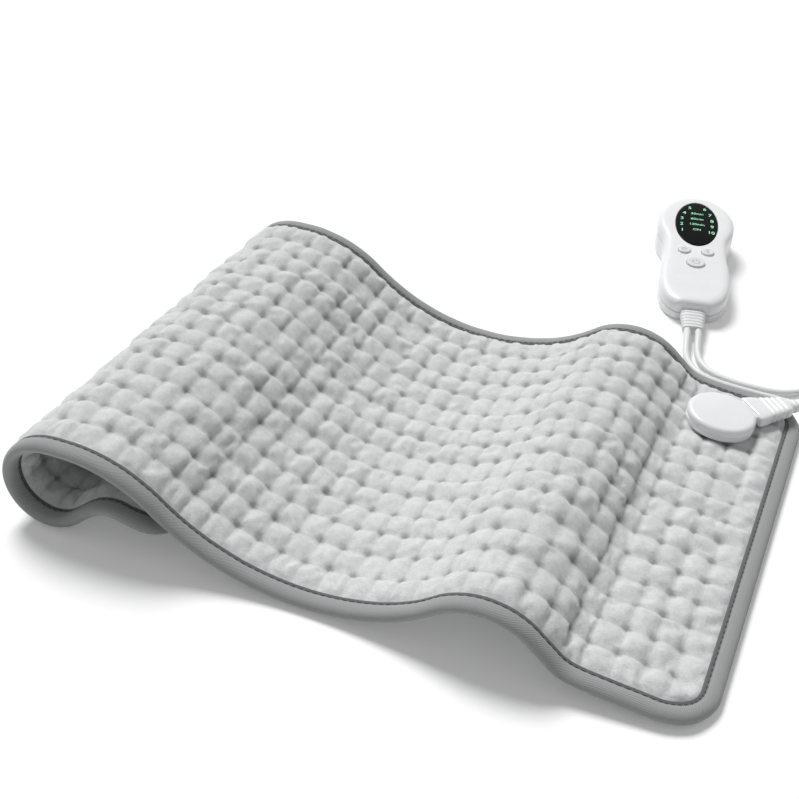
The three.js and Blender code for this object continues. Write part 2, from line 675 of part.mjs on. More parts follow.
function inPad(geometry) {
  return geometry.clone().applyMatrix4(plugFrame.matrixWorld);
}

const SOCKET_UNDERSIDE = TOP_DIMPLE + CROWN_RISE + GAP;
const SOCKET_TOP = SOCKET_UNDERSIDE + SOCKET_HEIGHT;
const PLUG_LEVEL = SOCKET_UNDERSIDE + PLUG_HEIGHT / 2;
const PLATE_TOP = BOTTOM_FACE - GAP;
const PLATE_BOTTOM = PLATE_TOP - SOCKET_PLATE_THICKNESS;
const BOSS_END = (RECESS_FLOOR + PLATE_TOP) / 2;
const MOUTH_START = SOCKET_DIAMETER / 2 - MOUTH_DEPTH;
const SLEEVE_BORE = PIN_DIAMETER + 2 * SLIDE_GAP;
const SLEEVE_DIAMETER = SLEEVE_BORE + 2 * SLEEVE_WALL;
const PLUG_START = SOCKET_DIAMETER / 2 + GAP;
const PLUG_END = PLUG_START + PLUG_BODY_LENGTH;

function alongX(geometry, y, z) {
  return geometry.rotateY(Math.PI / 2).translate(0, y, z);
}

function pinPlaces() {
  return [-PIN_SPACING / 2, PIN_SPACING / 2];
}

function socketScrewPlaces() {
  return Array.from({ length: SOCKET_SCREWS }, (_, k) => {
    const angle = radians(180 + (k * 360) / SOCKET_SCREWS);
    return [SOCKET_SCREW_CIRCLE / 2 * Math.cos(angle), SOCKET_SCREW_CIRCLE / 2 * Math.sin(angle)];
  });
}

function socketHousing() {
  const radius = SOCKET_DIAMETER / 2;
  const boss = SOCKET_BOSS_DIAMETER / 2;
  const shoulder = SOCKET_TOP - SOCKET_EDGE_ROUND;
  const underside = [[0, BOSS_END], [boss, BOSS_END], [boss, SOCKET_UNDERSIDE], [radius, SOCKET_UNDERSIDE]];
  const edge = SOCKET_EDGE_ANGLES.map((angle) => {
    const reach = radius - SOCKET_EDGE_ROUND * (1 - Math.cos(radians(angle)));
    return [reach, shoulder + SOCKET_EDGE_RISE * Math.sin(radians(angle))];
  });
  const profile = [...underside, ...edge, [0, SOCKET_TOP]].map(([r, z]) => new THREE.Vector2(r, z));
  const body = new THREE.LatheGeometry(profile, DISC_SIDES).rotateX(Math.PI / 2);
  const half = NOSE_WIDTH / 2 + SLIDE_GAP;
  const rise = NOSE_HEIGHT / 2 + SLIDE_GAP;
  const mouth = box(MOUTH_START, radius + OVERCUT, -half, half, PLUG_LEVEL - rise, PLUG_LEVEL + rise);
  const bores = pinPlaces().map((y) => {
    const from = MOUTH_START - PIN_ROOT - GAP;
    return alongX(cylinder(PIN_DIAMETER + 2 * GAP, from, MOUTH_START + OVERCUT, HOLE_SIDES), y, PLUG_LEVEL);
  });
  const screwHoles = socketScrewPlaces().map(([x, y]) => (
    cylinder(SMALL_SCREW + 2 * GAP, BOSS_END - OVERCUT, SOCKET_UNDERSIDE, HOLE_SIDES).translate(x, y, 0)
  ));
  return cut(body, mouth, ...bores, ...screwHoles);
}

function socketPlate() {
  const plate = cylinder(SOCKET_PLATE_DIAMETER, PLATE_BOTTOM, PLATE_TOP, DISC_SIDES);
  const spigot = cylinder(SOCKET_BOSS_DIAMETER, PLATE_TOP - GAP, BOSS_END - GAP);
  const below = PLATE_BOTTOM - OVERCUT;
  const holes = socketScrewPlaces().map(([x, y]) => (
    cylinder(SMALL_SCREW + 2 * GAP, below, BOSS_END, HOLE_SIDES).translate(x, y, 0)
  ));
  const seats = socketScrewPlaces().map(([x, y]) => (
    cylinder(SMALL_SCREW_HEAD + 2 * GAP, below, PLATE_TOP, BORE_SIDES).translate(x, y, 0)
  ));
  return cut(join(plate, spigot), ...holes, ...seats);
}

function screw(diameter, head, headFrom, headTo, tip) {
  const shank = cylinder(diameter, headTo - GAP, tip, SCREW_SIDES);
  return join(cylinder(head, headFrom, headTo, HOLE_SIDES), shank);
}

function plugBody() {
  const w = PLUG_WIDTH / 2;
  const h = PLUG_HEIGHT / 2;
  const waist = PLUG_WAIST / 2;
  const lip = [
    [PLUG_START, w - PLUG_LIP_SIDE, h - PLUG_LIP_RISE],
    [PLUG_START + PLUG_LIP_LENGTH, w, h],
    [PLUG_START + PLUG_SHOULDER, w - PLUG_SHOULDER_TAPER, h],
  ];
  const gripStart = [w - PLUG_GRIP_TAPER, h];
  const gripEnd = [waist + PLUG_GRIP_WAIST, h];
  const gripFrom = PLUG_START + PLUG_GRIP_FROM;
  const gripTo = PLUG_END - PLUG_GRIP_TO_END;
  const ribs = ribbedStations(gripFrom, gripTo, gripStart, gripEnd, PLUG_GRIP_RIBS, PLUG_GRIP_GROOVE);
  const neck = [
    [PLUG_END - PLUG_NECK_LENGTH, waist, h - PLUG_NECK_RISE],
    [PLUG_END, waist - PLUG_NECK_END, h - PLUG_NECK_END],
  ];
  const body = taperedBar([...lip, ...ribs, ...neck]);
  const noseFrom = MOUTH_START + SLIDE_GAP;
  const noseTo = PLUG_START + NOSE_ROOT;
  const nose = box(noseFrom, noseTo, -NOSE_WIDTH / 2, NOSE_WIDTH / 2, -NOSE_HEIGHT / 2, NOSE_HEIGHT / 2);
  const bores = pinPlaces().map((y) => {
    const end = noseFrom + PIN_LENGTH + GAP;
    return alongX(cylinder(SLEEVE_DIAMETER + 2 * GAP, noseFrom - OVERCUT, end, BORE_SIDES), y, 0);
  });
  return cut(join(body, nose), ...bores).translate(0, 0, PLUG_LEVEL);
}

function plugShell(upper) {
  const low = upper ? PLUG_LEVEL + GAP / 2 : PLUG_LEVEL - PLUG_HEIGHT;
  const high = upper ? PLUG_LEVEL + PLUG_HEIGHT : PLUG_LEVEL - GAP / 2;
  return common(plugBody(), box(0, PLUG_END + OVERCUT, -PLUG_WIDTH, PLUG_WIDTH, low, high));
}

// Pad: layers, binding, wire, socket and plug

function buildPad() {
  const pad = new THREE.Group();
  const socketHole = inPad(cylinder(SOCKET_BOSS_DIAMETER + 4 * GAP, PLATE_BOTTOM, SOCKET_TOP, HOLE_SIDES));
  const quiltLines = Array.from({ length: CELLS_ACROSS + 1 }, (_, column) => column);
  const plainLines = [0, 1, CELLS_ACROSS - 1, CELLS_ACROSS];
  const topCover = padCover(TOP_UNDERSIDE, COVER_MARGIN, TOP_DIMPLE, quiltLines, TOP_DIMPLE + CROWN_RISE);
  const bottomCover = padCover(FELT_TOP, -COVER_MARGIN, BOTTOM_FACE, plainLines);
  const recess = padSlab(RECESS_INSET, RECESS_FLOOR, FELT_TOP + OVERCUT);
  add(pad, 'top_cover', cut(topCover, socketHole), PLUSH);
  add(pad, 'bottom_cover', cut(bottomCover, recess, socketHole), PLUSH);
  add(pad, 'heater_felt', cut(padSlab(FELT_INSET, FELT_BOTTOM, FELT_TOP), socketHole), FELT_WHITE);
  add(pad, 'heating_wire', heatingWire(), BRASS);
  add(pad, 'edge_binding', edgeBinding(), BINDING_GREY);
  const cutoutS = SEAM_INSET + CUTOUT_ROW * ROW_PITCH;
  const cutoutRings = [cutoutS - CUTOUT_LENGTH / 2, cutoutS + CUTOUT_LENGTH / 2].map((s) => {
    const corners = [[-1, WIRE_BOTTOM], [1, WIRE_BOTTOM], [1, WIRE_TOP], [-1, WIRE_TOP]];
    return corners.map(([side, n]) => padPoint(s, side * CUTOUT_WIDTH / 2, n));
  });
  add(pad, 'thermal_cutout', loft(cutoutRings), STEEL);
  return pad;
}

function buildSocket() {
  add(plugFrame, 'socket_housing', socketHousing(), WHITE_PLASTIC);
  add(plugFrame, 'socket_plate', socketPlate(), WHITE_PLASTIC);
  socketScrewPlaces().forEach(([x, y], k) => {
    const tip = SOCKET_UNDERSIDE - GAP;
    const piece = screw(SMALL_SCREW, SMALL_SCREW_HEAD, PLATE_BOTTOM + GAP, PLATE_TOP - GAP, tip);
    add(plugFrame, `socket_screw_${k + 1}`, piece.translate(x, y, 0), STEEL);
  });
  pinPlaces().forEach((y, k) => {
    const from = MOUTH_START - PIN_ROOT;
    const pin = cylinder(PIN_DIAMETER, from, from + PIN_LENGTH, HOLE_SIDES);
    add(plugFrame, `socket_pin_${k + 1}`, alongX(pin, y, PLUG_LEVEL), BRASS);
  });
}

function buildPlug() {
  add(plugFrame, 'plug_upper_shell', plugShell(true), WHITE_PLASTIC, true);
  add(plugFrame, 'plug_lower_shell', plugShell(false), WHITE_PLASTIC, true);
  const from = MOUTH_START + 2 * SLIDE_GAP;
  pinPlaces().forEach((y, k) => {
    const outer = cylinder(SLEEVE_DIAMETER, from, from + PIN_LENGTH - GAP, BORE_SIDES);
    const bore = cylinder(SLEEVE_BORE, from - OVERCUT, from + PIN_LENGTH, BORE_SIDES);
    add(plugFrame, `plug_contact_${k + 1}`, alongX(cut(outer, bore), y, PLUG_LEVEL), BRASS, true);
  });
  const reliefFrom = PLUG_END + GAP;
  const reliefTo = PLUG_END + PLUG_RELIEF_LENGTH;
  const start = [PLUG_WAIST / 2 - PLUG_RELIEF_SIDE, PLUG_HEIGHT / 2 - PLUG_RELIEF_RISE];
  const end = [SLEEVE_END, SLEEVE_END];
  const stations = ribbedStations(reliefFrom, reliefTo, start, end, PLUG_RELIEF_RIBS, PLUG_RELIEF_GROOVE);
  const relief = taperedBar(stations).translate(0, 0, PLUG_LEVEL);
  add(plugFrame, 'plug_strain_relief', relief, WHITE_PLASTIC, true);
}

// Controller: local X runs from the cord end to the head, local Z stands off the back

function caseOutline(inset) {
  const head = HEAD_WIDTH / 2 - inset;
  const waist = WAIST_WIDTH / 2 - inset;
  const hip = HIP_WIDTH / 2 - inset;
  const tail = TAIL_WIDTH / 2 - inset;
  const top = CASE_LENGTH - inset;
  const headAt = CASE_LENGTH - HEAD_FROM_TOP;
  const waistAt = CASE_LENGTH - WAIST_FROM_TOP;
  const hipAt = CASE_LENGTH - HIP_FROM_TOP;
  const headPull = headAt + QUARTER_ARC * (top - headAt);
  const sidePull = QUARTER_ARC * head;
  const tailPull = inset + hipAt * TAIL_PULL;
  const swell = tail + (hip - tail) * TAIL_SWELL;
  const shape = new THREE.Shape();
  const ease = (x0, y0, x1, y1) => shape.bezierCurveTo((x0 + x1) / 2, y0, (x0 + x1) / 2, y1, x1, y1);
  shape.moveTo(inset, -tail);
  shape.bezierCurveTo(tailPull, -swell, hipAt * HIP_PULL, -hip, hipAt, -hip);
  ease(hipAt, -hip, waistAt, -waist);
  ease(waistAt, -waist, headAt, -head);
  shape.bezierCurveTo(headPull, -head, top, -sidePull, top, 0);
  shape.bezierCurveTo(top, sidePull, headPull, head, headAt, head);
  ease(headAt, head, waistAt, waist);
  ease(waistAt, waist, hipAt, hip);
  shape.bezierCurveTo(hipAt * HIP_PULL, hip, tailPull, swell, inset, tail);
  return shape.getPoints(OUTLINE_STEPS);
}

// A body built up from the casing outline at rising levels: [level, inset] pairs
function caseStack(levels) {
  const flat = caseOutline(levels[0][1]);
  const cap = THREE.ShapeUtils.triangulateShape(flat, []);
  const rings = levels.map(([z, inset]) => caseOutline(inset).map((p) => new THREE.Vector3(p.x, p.y, z)));
  return loft(rings, { cap });
}

const controller = new THREE.Group();
controller.position.set(CASE_TAIL_X, CASE_TAIL_Y, 0);
controller.rotation.z = radians(CASE_TURN);
const face = new THREE.Group();
face.position.z = REAR_AT_TAIL;
face.rotation.y = -radians(FACE_TILT);
controller.add(face);
face.updateMatrix();

const FACE_INSIDE = FRONT_DEPTH - CASE_WALL;
const BOARD_TOP = BOARD_LEVEL + BOARD_THICKNESS;
const FLANGE_TOP = FACE_INSIDE - GAP;
const BUTTON_FOOT = FLANGE_TOP - BUTTON_FLANGE;
const SWITCH_TOP = BUTTON_FOOT - BUTTON_TRAVEL - GAP;

function inCase(geometry) {
  return geometry.clone().applyMatrix4(face.matrix);
}

function oval(length, width, from, to, sides = DISC_SIDES) {
  return cylinder(1, from, to, sides).scale(length, width, 1);
}

// Depth of the back below the parting plane, measured along the face's own normal
function backDepth(x) {
  return (REAR_AT_TAIL + x * Math.sin(radians(FACE_TILT))) / Math.cos(radians(FACE_TILT));
}

function buttonPlaces() {
  const small = CASE_LENGTH - SMALL_BUTTON_FROM_TOP;
  return [
    { name: 'left_button', x: small, y: SMALL_BUTTON_SPREAD / 2, size: SMALL_BUTTON },
    { name: 'right_button', x: small, y: -SMALL_BUTTON_SPREAD / 2, size: SMALL_BUTTON },
    { name: 'power_button', x: CASE_LENGTH - POWER_FROM_TOP, y: 0, size: POWER_BUTTON },
  ];
}

function reliefPocket() {
  const w = RELIEF_WIDTH / 2 - RELIEF_NECK + GAP;
  const h = RELIEF_HEIGHT / 2 - RELIEF_NECK + GAP;
  return box(-OVERCUT, CASE_WALL + RELIEF_POCKET, -w, w, REAR_AT_TAIL - h, REAR_AT_TAIL + h);
}

function frontShell() {
  const outer = caseStack([[GAP / 2, 0], ...FRONT_ROUND]);
  const hollow = caseStack([
    [-OVERCUT, CASE_WALL], [FRONT_WALL_LEVEL, CASE_WALL], [FACE_INSIDE, CASE_WALL + FRONT_HOLLOW_ROUND],
  ]);
  const windowAt = CASE_LENGTH - WINDOW_FROM_TOP;
  const windowSeat = FRONT_DEPTH - CASE_WALL / 2;
  const above = FRONT_DEPTH + OVERCUT;
  const inner = 2 * WINDOW_LEDGE;
  const opening = oval(WINDOW_LENGTH - inner, WINDOW_WIDTH - inner, 0, above).translate(windowAt, 0, 0);
  const rebate = oval(WINDOW_LENGTH, WINDOW_WIDTH, windowSeat, above).translate(windowAt, 0, 0);
  const holes = buttonPlaces().map(({ x, y, size }) => (
    cylinder(size + 2 * SLIDE_GAP, 0, above).translate(x, y, 0)
  ));
  const bosses = CASE_SCREWS.map(([x, y]) => (
    cylinder(CASE_BOSS, GAP / 2, FACE_INSIDE + CASE_BOSS_ROOT, SCREW_SIDES).translate(x, y, 0)
  ));
  const pilots = CASE_SCREWS.map(([x, y]) => (
    cylinder(CASE_SCREW + 2 * GAP, -OVERCUT, FACE_INSIDE - PILOT_ROOF, SCREW_SIDES).translate(x, y, 0)
  ));
  const pocket = reliefPocket().applyMatrix4(face.matrix.clone().invert());
  return cut(join(cut(outer, hollow), ...bosses), opening, rebate, ...holes, ...pilots, pocket);
}

function rearShell() {
  const tall = REAR_AT_TAIL + CASE_LENGTH;
  const outer = caseStack([...REAR_ROUND, [tall, 0]]);
  const hollow = caseStack([
    [CASE_WALL, CASE_WALL + REAR_HOLLOW_ROUND],
    [CASE_WALL + REAR_HOLLOW_LEVEL, CASE_WALL],
    [tall + OVERCUT, CASE_WALL],
  ]);
  const wide = 2 * CASE_LENGTH;
  const above = inCase(box(-wide, wide, -wide, wide, -GAP / 2, wide));
  const upright = (diameter, x, y, from, to) => (
    inCase(cylinder(diameter, from, to, SCREW_SIDES).translate(x, y, 0))
  );
  const posts = CASE_SCREWS.map(([x, y]) => upright(CASE_BOSS, x, y, POST_FOOT - backDepth(x), 0));
  const shanks = CASE_SCREWS.map(([x, y]) => (
    upright(CASE_SCREW + 2 * GAP, x, y, -backDepth(x) - 2 * OVERCUT, OVERCUT)
  ));
  const seats = CASE_SCREWS.map(([x, y]) => (
    upright(CASE_SCREW_HEAD + 2 * GAP, x, y, -backDepth(x) - 2 * OVERCUT, COUNTERBORE - backDepth(x))
  ));
  const body = join(cut(outer, hollow), ...posts);
  return cut(body, above, ...shanks, ...seats, reliefPocket());
}

function buildFace() {
  add(face, 'controller_front_shell', frontShell(), WHITE_PLASTIC);
  const windowAt = CASE_LENGTH - WINDOW_FROM_TOP;
  const seat = FRONT_DEPTH - CASE_WALL / 2 + GAP;
  const fit = 2 * GAP;
  const drawnIn = 2 * WINDOW_DOME_INSET;
  const lens = join(
    oval(WINDOW_LENGTH - fit, WINDOW_WIDTH - fit, seat, FRONT_DEPTH + WINDOW_RIM),
    oval(WINDOW_LENGTH - drawnIn, WINDOW_WIDTH - drawnIn, FRONT_DEPTH, FRONT_DEPTH + WINDOW_DOME),
  );
  add(face, 'display_window', lens.translate(windowAt, 0, 0), DARK_GLASS);
  const moduleTop = FACE_INSIDE - GAP;
  const long = MODULE_LENGTH / 2;
  const wide = MODULE_WIDTH / 2;
  const module = box(-long, long, -wide, wide, BOARD_TOP + GAP, moduleTop);
  add(face, 'display_module', module.translate(windowAt, 0, 0), BLACK_PLASTIC);
  const board = caseStack([[BOARD_LEVEL, BOARD_INSET], [BOARD_TOP, BOARD_INSET]]);
  const boardHoles = CASE_SCREWS.map(([x, y]) => (
    cylinder(CASE_BOSS + 2 * GAP, 0, BOARD_TOP + OVERCUT, SCREW_SIDES).translate(x, y, 0)
  ));
  const boardStart = CASE_LENGTH - BOARD_FROM_TOP;
  const boardEnd = box(-CASE_LENGTH, boardStart, -CASE_LENGTH, CASE_LENGTH, 0, BOARD_TOP + OVERCUT);
  add(face, 'circuit_board', cut(board, boardEnd, ...boardHoles), BOARD_GREEN);
  buttonPlaces().forEach(({ name, x, y, size }) => {
    const top = FRONT_DEPTH + BUTTON_PROUD;
    const flange = cylinder(size + 2 * BUTTON_FLANGE, BUTTON_FOOT, FLANGE_TOP);
    const stem = cylinder(size, FLANGE_TOP - GAP, top - BUTTON_CHAMFER);
    const crown = cylinder(size - 2 * BUTTON_CROWN_INSET, FRONT_DEPTH, top);
    add(face, name, join(flange, stem, crown).translate(x, y, 0), BUTTON_GREY);
    const half = SWITCH_WIDTH / 2;
    const bodyTop = SWITCH_TOP - PLUNGER_HEIGHT;
    const body = box(-half, half, -half, half, BOARD_TOP + GAP, bodyTop);
    const plunger = cylinder(PLUNGER_DIAMETER, bodyTop - PLUNGER_ROOT, SWITCH_TOP, HOLE_SIDES);
    add(face, `${name}_switch`, join(body, plunger).translate(x, y, 0), BLACK_PLASTIC);
  });
}

function buildElectronics() {
  const under = BOARD_LEVEL - GAP;
  const block = ({ fromTop, length, right, left, from = 0, depth }) => {
    const start = CASE_LENGTH - fromTop;
    return box(start, start + length, right, left, under - depth, under - from);
  };
  add(face, 'control_chip', block(CHIP), BLACK_PLASTIC);
  add(face, 'triac', join(block(TRIAC), block(TRIAC_TAB)), BLACK_PLASTIC);
  add(face, 'capacitor', block(CAPACITOR), BINDING_GREY);
  const fuseFrom = CASE_LENGTH - FUSE.fromTop;
  const fuse = cylinder(FUSE.diameter, fuseFrom, fuseFrom + FUSE.length, BORE_SIDES);
  add(face, 'fuse', alongX(fuse, FUSE.side, under - FUSE.diameter / 2), STEEL);
  CASE_SCREWS.forEach(([x, y], k) => {
    const seat = COUNTERBORE - backDepth(x);
    const tip = FACE_INSIDE - PILOT_ROOF - GAP;
    const piece = screw(CASE_SCREW, CASE_SCREW_HEAD, seat - CASE_HEAD_HEIGHT, seat - GAP, tip);
    add(face, `case_screw_${k + 1}`, piece.translate(x, y, 0), STEEL);
  });
}

function buildCase() {
  add(controller, 'controller_rear_shell', rearShell(), WHITE_PLASTIC);
  const w = RELIEF_WIDTH / 2;
  const h = RELIEF_HEIGHT / 2;
  const neck = [w - RELIEF_NECK, h - RELIEF_NECK];
  const tongue = [[-GAP, ...neck], [RELIEF_TONGUE, ...neck]];
  const start = [w - RELIEF_TAPER, h - RELIEF_NECK];
  const sleeveTo = -GAP - RELIEF_STEP;
  const sleeve = ribbedStations(-RELIEF_LENGTH, sleeveTo, start, [w, h], RELIEF_RIBS, RELIEF_GROOVE);
  const relief = taperedBar([...sleeve, ...tongue]).translate(0, 0, REAR_AT_TAIL);
  add(controller, 'controller_strain_relief', relief, WHITE_PLASTIC);
}

// Leads: free stretches through points chosen by hand, and coils worked out turn by turn

function route(points) {
  return new THREE.CatmullRomCurve3(points, false, 'centripetal');
}

function tube(points, sides, steps) {
  const radius = CORD_DIAMETER / 2;
  const turn = Math.PI / sides;
  const section = new THREE.Shape(Array.from({ length: sides }, (_, k) => {
    const angle = turn + (k * 2 * Math.PI) / sides;
    return new THREE.Vector2(radius * Math.cos(angle), radius * Math.sin(angle));
  }));
  return new THREE.ExtrudeGeometry(section, { extrudePath: route(points), steps, bevelEnabled: false });
}

// Two layers: the loops spiral in at a steady rate, climb in the half turn where they reverse, and spiral out
function coilPoints({ x, y, inner, turns, start, sense }) {
  const count = Math.round(turns * COIL_STEPS);
  const points = [];
  for (let k = 0; k <= count; k += 1) {
    const done = (k / count) * turns;
    const fromMiddle = done - turns / 2;
    const radius = inner + COIL_PITCH * Math.abs(fromMiddle);
    const angle = radians(start) + sense * done * 2 * Math.PI;
    const climb = THREE.MathUtils.clamp(fromMiddle * 2 + 0.5, 0, 1);
    points.push(new THREE.Vector3(
      x + radius * Math.cos(angle),
      y + radius * Math.sin(angle),
      COIL_REST + climb * COIL_PITCH,
    ));
  }
  const straight = (end, done, way) => {
    const angle = radians(start) + sense * done * 2 * Math.PI;
    const tangent = new THREE.Vector3(-Math.sin(angle), Math.cos(angle), 0);
    return end.clone().addScaledVector(tangent, sense * way * CORD_DIAMETER);
  };
  return [straight(points[0], 0, -1), ...points, straight(points.at(-1), turns, 1)];
}

// Least gap between turns, looked for at four samples to each point of the route
function leastGap(points) {
  const curve = route(points);
  const count = points.length * 4;
  const samples = curve.getSpacedPoints(count);
  const neighbour = 6 * CORD_DIAMETER;
  const apart = Math.ceil((neighbour * count) / curve.getLength());
  let least = Infinity;
  for (let i = 0; i < samples.length; i += 1) {
    for (let j = i + apart; j < samples.length; j += 1) {
      least = Math.min(least, samples[i].distanceTo(samples[j]));
    }
  }
  return least - CORD_DIAMETER;
}

// A flat band round all turns of a coil, at the given angle
function coilTie({ x, y, inner, turns }, angle) {
  const radius = CORD_DIAMETER / 2;
  const near = inner - radius - 2 * GAP;
  const far = inner + COIL_PITCH * (turns / 2) + radius + 2 * GAP;
  const low = TIE_THICKNESS;
  const high = COIL_REST + COIL_PITCH + radius + GAP;
  const half = TIE_WIDTH / 2;
  const band = box(near - TIE_THICKNESS, far + TIE_THICKNESS, -half, half, 0, high + TIE_THICKNESS);
  const inside = box(near, far, -TIE_WIDTH, TIE_WIDTH, low, high);
  return cut(band, inside).rotateZ(radians(angle)).translate(x, y, 0);
}

function padPlugEnd() {
  plugFrame.updateWorldMatrix(true, false);
  const reach = PLUG_END + PLUG_RELIEF_LENGTH + GAP;
  return [0, 2 * CORD_DIAMETER].map((more) => (
    new THREE.Vector3(reach + more, 0, PLUG_LEVEL).applyMatrix4(plugFrame.matrixWorld)
  ));
}

function reliefEnd(side) {
  controller.updateWorldMatrix(true, false);
  const reach = -RELIEF_LENGTH - GAP;
  return [0, 2 * CORD_DIAMETER].map((more) => {
    const point = new THREE.Vector3(reach - more, side * CORD_SPACING / 2, REAR_AT_TAIL);
    return point.applyMatrix4(controller.matrixWorld);
  });
}

function along(list) {
  return list.map(([x, y, rise]) => new THREE.Vector3(x, y, FLOOR_REST + rise));
}

function stepBack(end, before) {
  return end.clone().addScaledVector(end.clone().sub(before).setZ(0).normalize(), GAP);
}

function buildLeads() {
  const padCoil = coilPoints(PAD_COIL);
  const mainsCoil = coilPoints(MAINS_COIL);
  console.log(`least gap in the pad lead's coil: ${leastGap(padCoil).toFixed(2)} mm`);
  console.log(`least gap in the mains lead's coil: ${leastGap(mainsCoil).toFixed(2)} mm`);

  const padRoute = [
    ...reliefEnd(1),
    ...along(PAD_ROUTE),
    padCoil[0].clone().add(new THREE.Vector3(-CORD_DIAMETER, 0, 0)),
    stepBack(padCoil[0], padCoil[1]),
  ];
  const padEnd = [
    stepBack(padCoil.at(-1), padCoil.at(-2)),
    padCoil.at(-1).clone().add(new THREE.Vector3(-COIL_EXIT_DRIFT, -CORD_DIAMETER, 0)),
    ...along(PAD_END_ROUTE),
    ...padPlugEnd().reverse(),
  ];
  const mainsRoute = [
    ...reliefEnd(-1),
    ...along(MAINS_ROUTE),
    mainsCoil[0].clone().add(new THREE.Vector3(0, -CORD_DIAMETER, 0)),
    stepBack(mainsCoil[0], mainsCoil[1]),
  ];
  const plugZ = COIL_REST + COIL_PITCH + CORD_DIAMETER / 2 + GAP + WALL_PLUG_HEIGHT / 2;
  const mainsEnd = [
    stepBack(mainsCoil.at(-1), mainsCoil.at(-2)),
    mainsCoil.at(-1).clone().add(new THREE.Vector3(0, CORD_DIAMETER, COIL_EXIT_DRIFT)),
    ...along(MAINS_END_ROUTE),
    new THREE.Vector3(WALL_PLUG_X - CORD_DIAMETER, WALL_PLUG_Y, plugZ),
    new THREE.Vector3(WALL_PLUG_X - GAP, WALL_PLUG_Y, plugZ),
  ];
  add(part, 'pad_lead', tube(padRoute, CORD_SIDES, PAD_LEAD_STEPS), CORD_WHITE, true);
  add(part, 'pad_lead_coil', tube(padCoil, COIL_SIDES, padCoil.length - 1), CORD_WHITE, true);
  add(part, 'pad_lead_end', tube(padEnd, CORD_SIDES, PAD_END_STEPS), CORD_WHITE, true);
  add(part, 'pad_lead_tie', coilTie(PAD_COIL, PAD_TIE_ANGLE), BLACK_PLASTIC, true);
  add(part, 'mains_lead', tube(mainsRoute, CORD_SIDES, MAINS_LEAD_STEPS), CORD_WHITE, true);
  add(part, 'mains_lead_coil', tube(mainsCoil, COIL_SIDES, mainsCoil.length - 1), CORD_WHITE, true);
  add(part, 'mains_lead_end', tube(mainsEnd, CORD_SIDES, MAINS_END_STEPS), CORD_WHITE, true);
  add(part, 'mains_lead_tie', coilTie(MAINS_COIL, MAINS_TIE_ANGLE), BLACK_PLASTIC, true);
  buildWallPlug(plugZ);
}

function buildWallPlug(level) {
  const wallPlug = new THREE.Group();
  wallPlug.position.set(WALL_PLUG_X, WALL_PLUG_Y, level);
  part.add(wallPlug);
  const w = WALL_PLUG_WIDTH / 2;
  const h = WALL_PLUG_HEIGHT / 2;
  const bodyFrom = WALL_RELIEF_LENGTH + GAP;
  const bodyTo = bodyFrom + WALL_PLUG_LENGTH;
  const start = [SLEEVE_END, SLEEVE_END];
  const stations = ribbedStations(
    0, WALL_RELIEF_LENGTH, start, WALL_RELIEF_END, WALL_RELIEF_RIBS, WALL_RELIEF_GROOVE,
  );
  add(wallPlug, 'wall_plug_strain_relief', taperedBar(stations), WHITE_PLASTIC, true);
  const body = taperedBar([
    ...WALL_GRIP.map(([x, wide, tall]) => [bodyFrom + x, w * wide, h * tall]),
    [bodyTo - WALL_FACE_LENGTH, w, h],
    [bodyTo - WALL_FACE_CHAMFER_LENGTH, w, h],
    [bodyTo, w - WALL_FACE_CHAMFER, h - WALL_FACE_CHAMFER],
  ]);
  const slots = [-1, 1].map((side) => {
    const y = side * PRONG_SPACING / 2;
    const t = PRONG_THICKNESS / 2 + GAP;
    const s = PRONG_WIDTH / 2 + GAP;
    return box(bodyTo - PRONG_ROOT - GAP, bodyTo + OVERCUT, y - t, y + t, -s, s);
  });
  add(wallPlug, 'wall_plug_body', cut(body, ...slots), WHITE_PLASTIC, true);
  [-1, 1].forEach((side, k) => {
    const y = side * PRONG_SPACING / 2;
    const tip = bodyTo + PRONG_LENGTH;
    const s = PRONG_WIDTH / 2;
    const thick = PRONG_THICKNESS / 2;
    const sections = [
      [bodyTo - PRONG_ROOT, s, thick],
      [tip - PRONG_TIP_LENGTH, s, thick],
      [tip, s * PRONG_TIP_WIDTH, thick * PRONG_TIP_THICKNESS],
    ];
    const blade = loft(sections.map(([x, half, t]) => (
      [[-t, -half], [t, -half], [t, half], [-t, half]].map(([dy, z]) => new THREE.Vector3(x, y + dy, z))
    )));
    add(wallPlug, `wall_prong_${k + 1}`, blade, STEEL, true);
  });
}

// Assembly: the pad is set down on the floor, then the leads are laid to where the plug is

const padGroup = buildPad();
const padBox = new THREE.Box3().setFromObject(padGroup, true);
padGroup.position.z = -padBox.min.z;
socketFrame.position.z -= padBox.min.z;
buildSocket();
buildPlug();
buildFace();
buildElectronics();
buildCase();
part.add(padGroup, socketFrame, controller);
part.updateMatrixWorld(true);
buildLeads();
part.updateMatrixWorld(true);

// The origin is under the middle of the object, leads left out
const extent = new THREE.Box3();
part.traverse((piece) => {
  if (piece.isMesh && !cordNames.has(piece.name)) extent.expandByObject(piece, true);
});
part.position.set(-(extent.min.x + extent.max.x) / 2, -(extent.min.y + extent.max.y) / 2, 0);
part.updateMatrixWorld(true);

export default part;
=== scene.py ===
# Electric heating pad with a plug-in lead and a hand controller: the looks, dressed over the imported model.
# Sizes are in millimetres, as in the part's source, and become metres when a piece is placed.
import json
import math

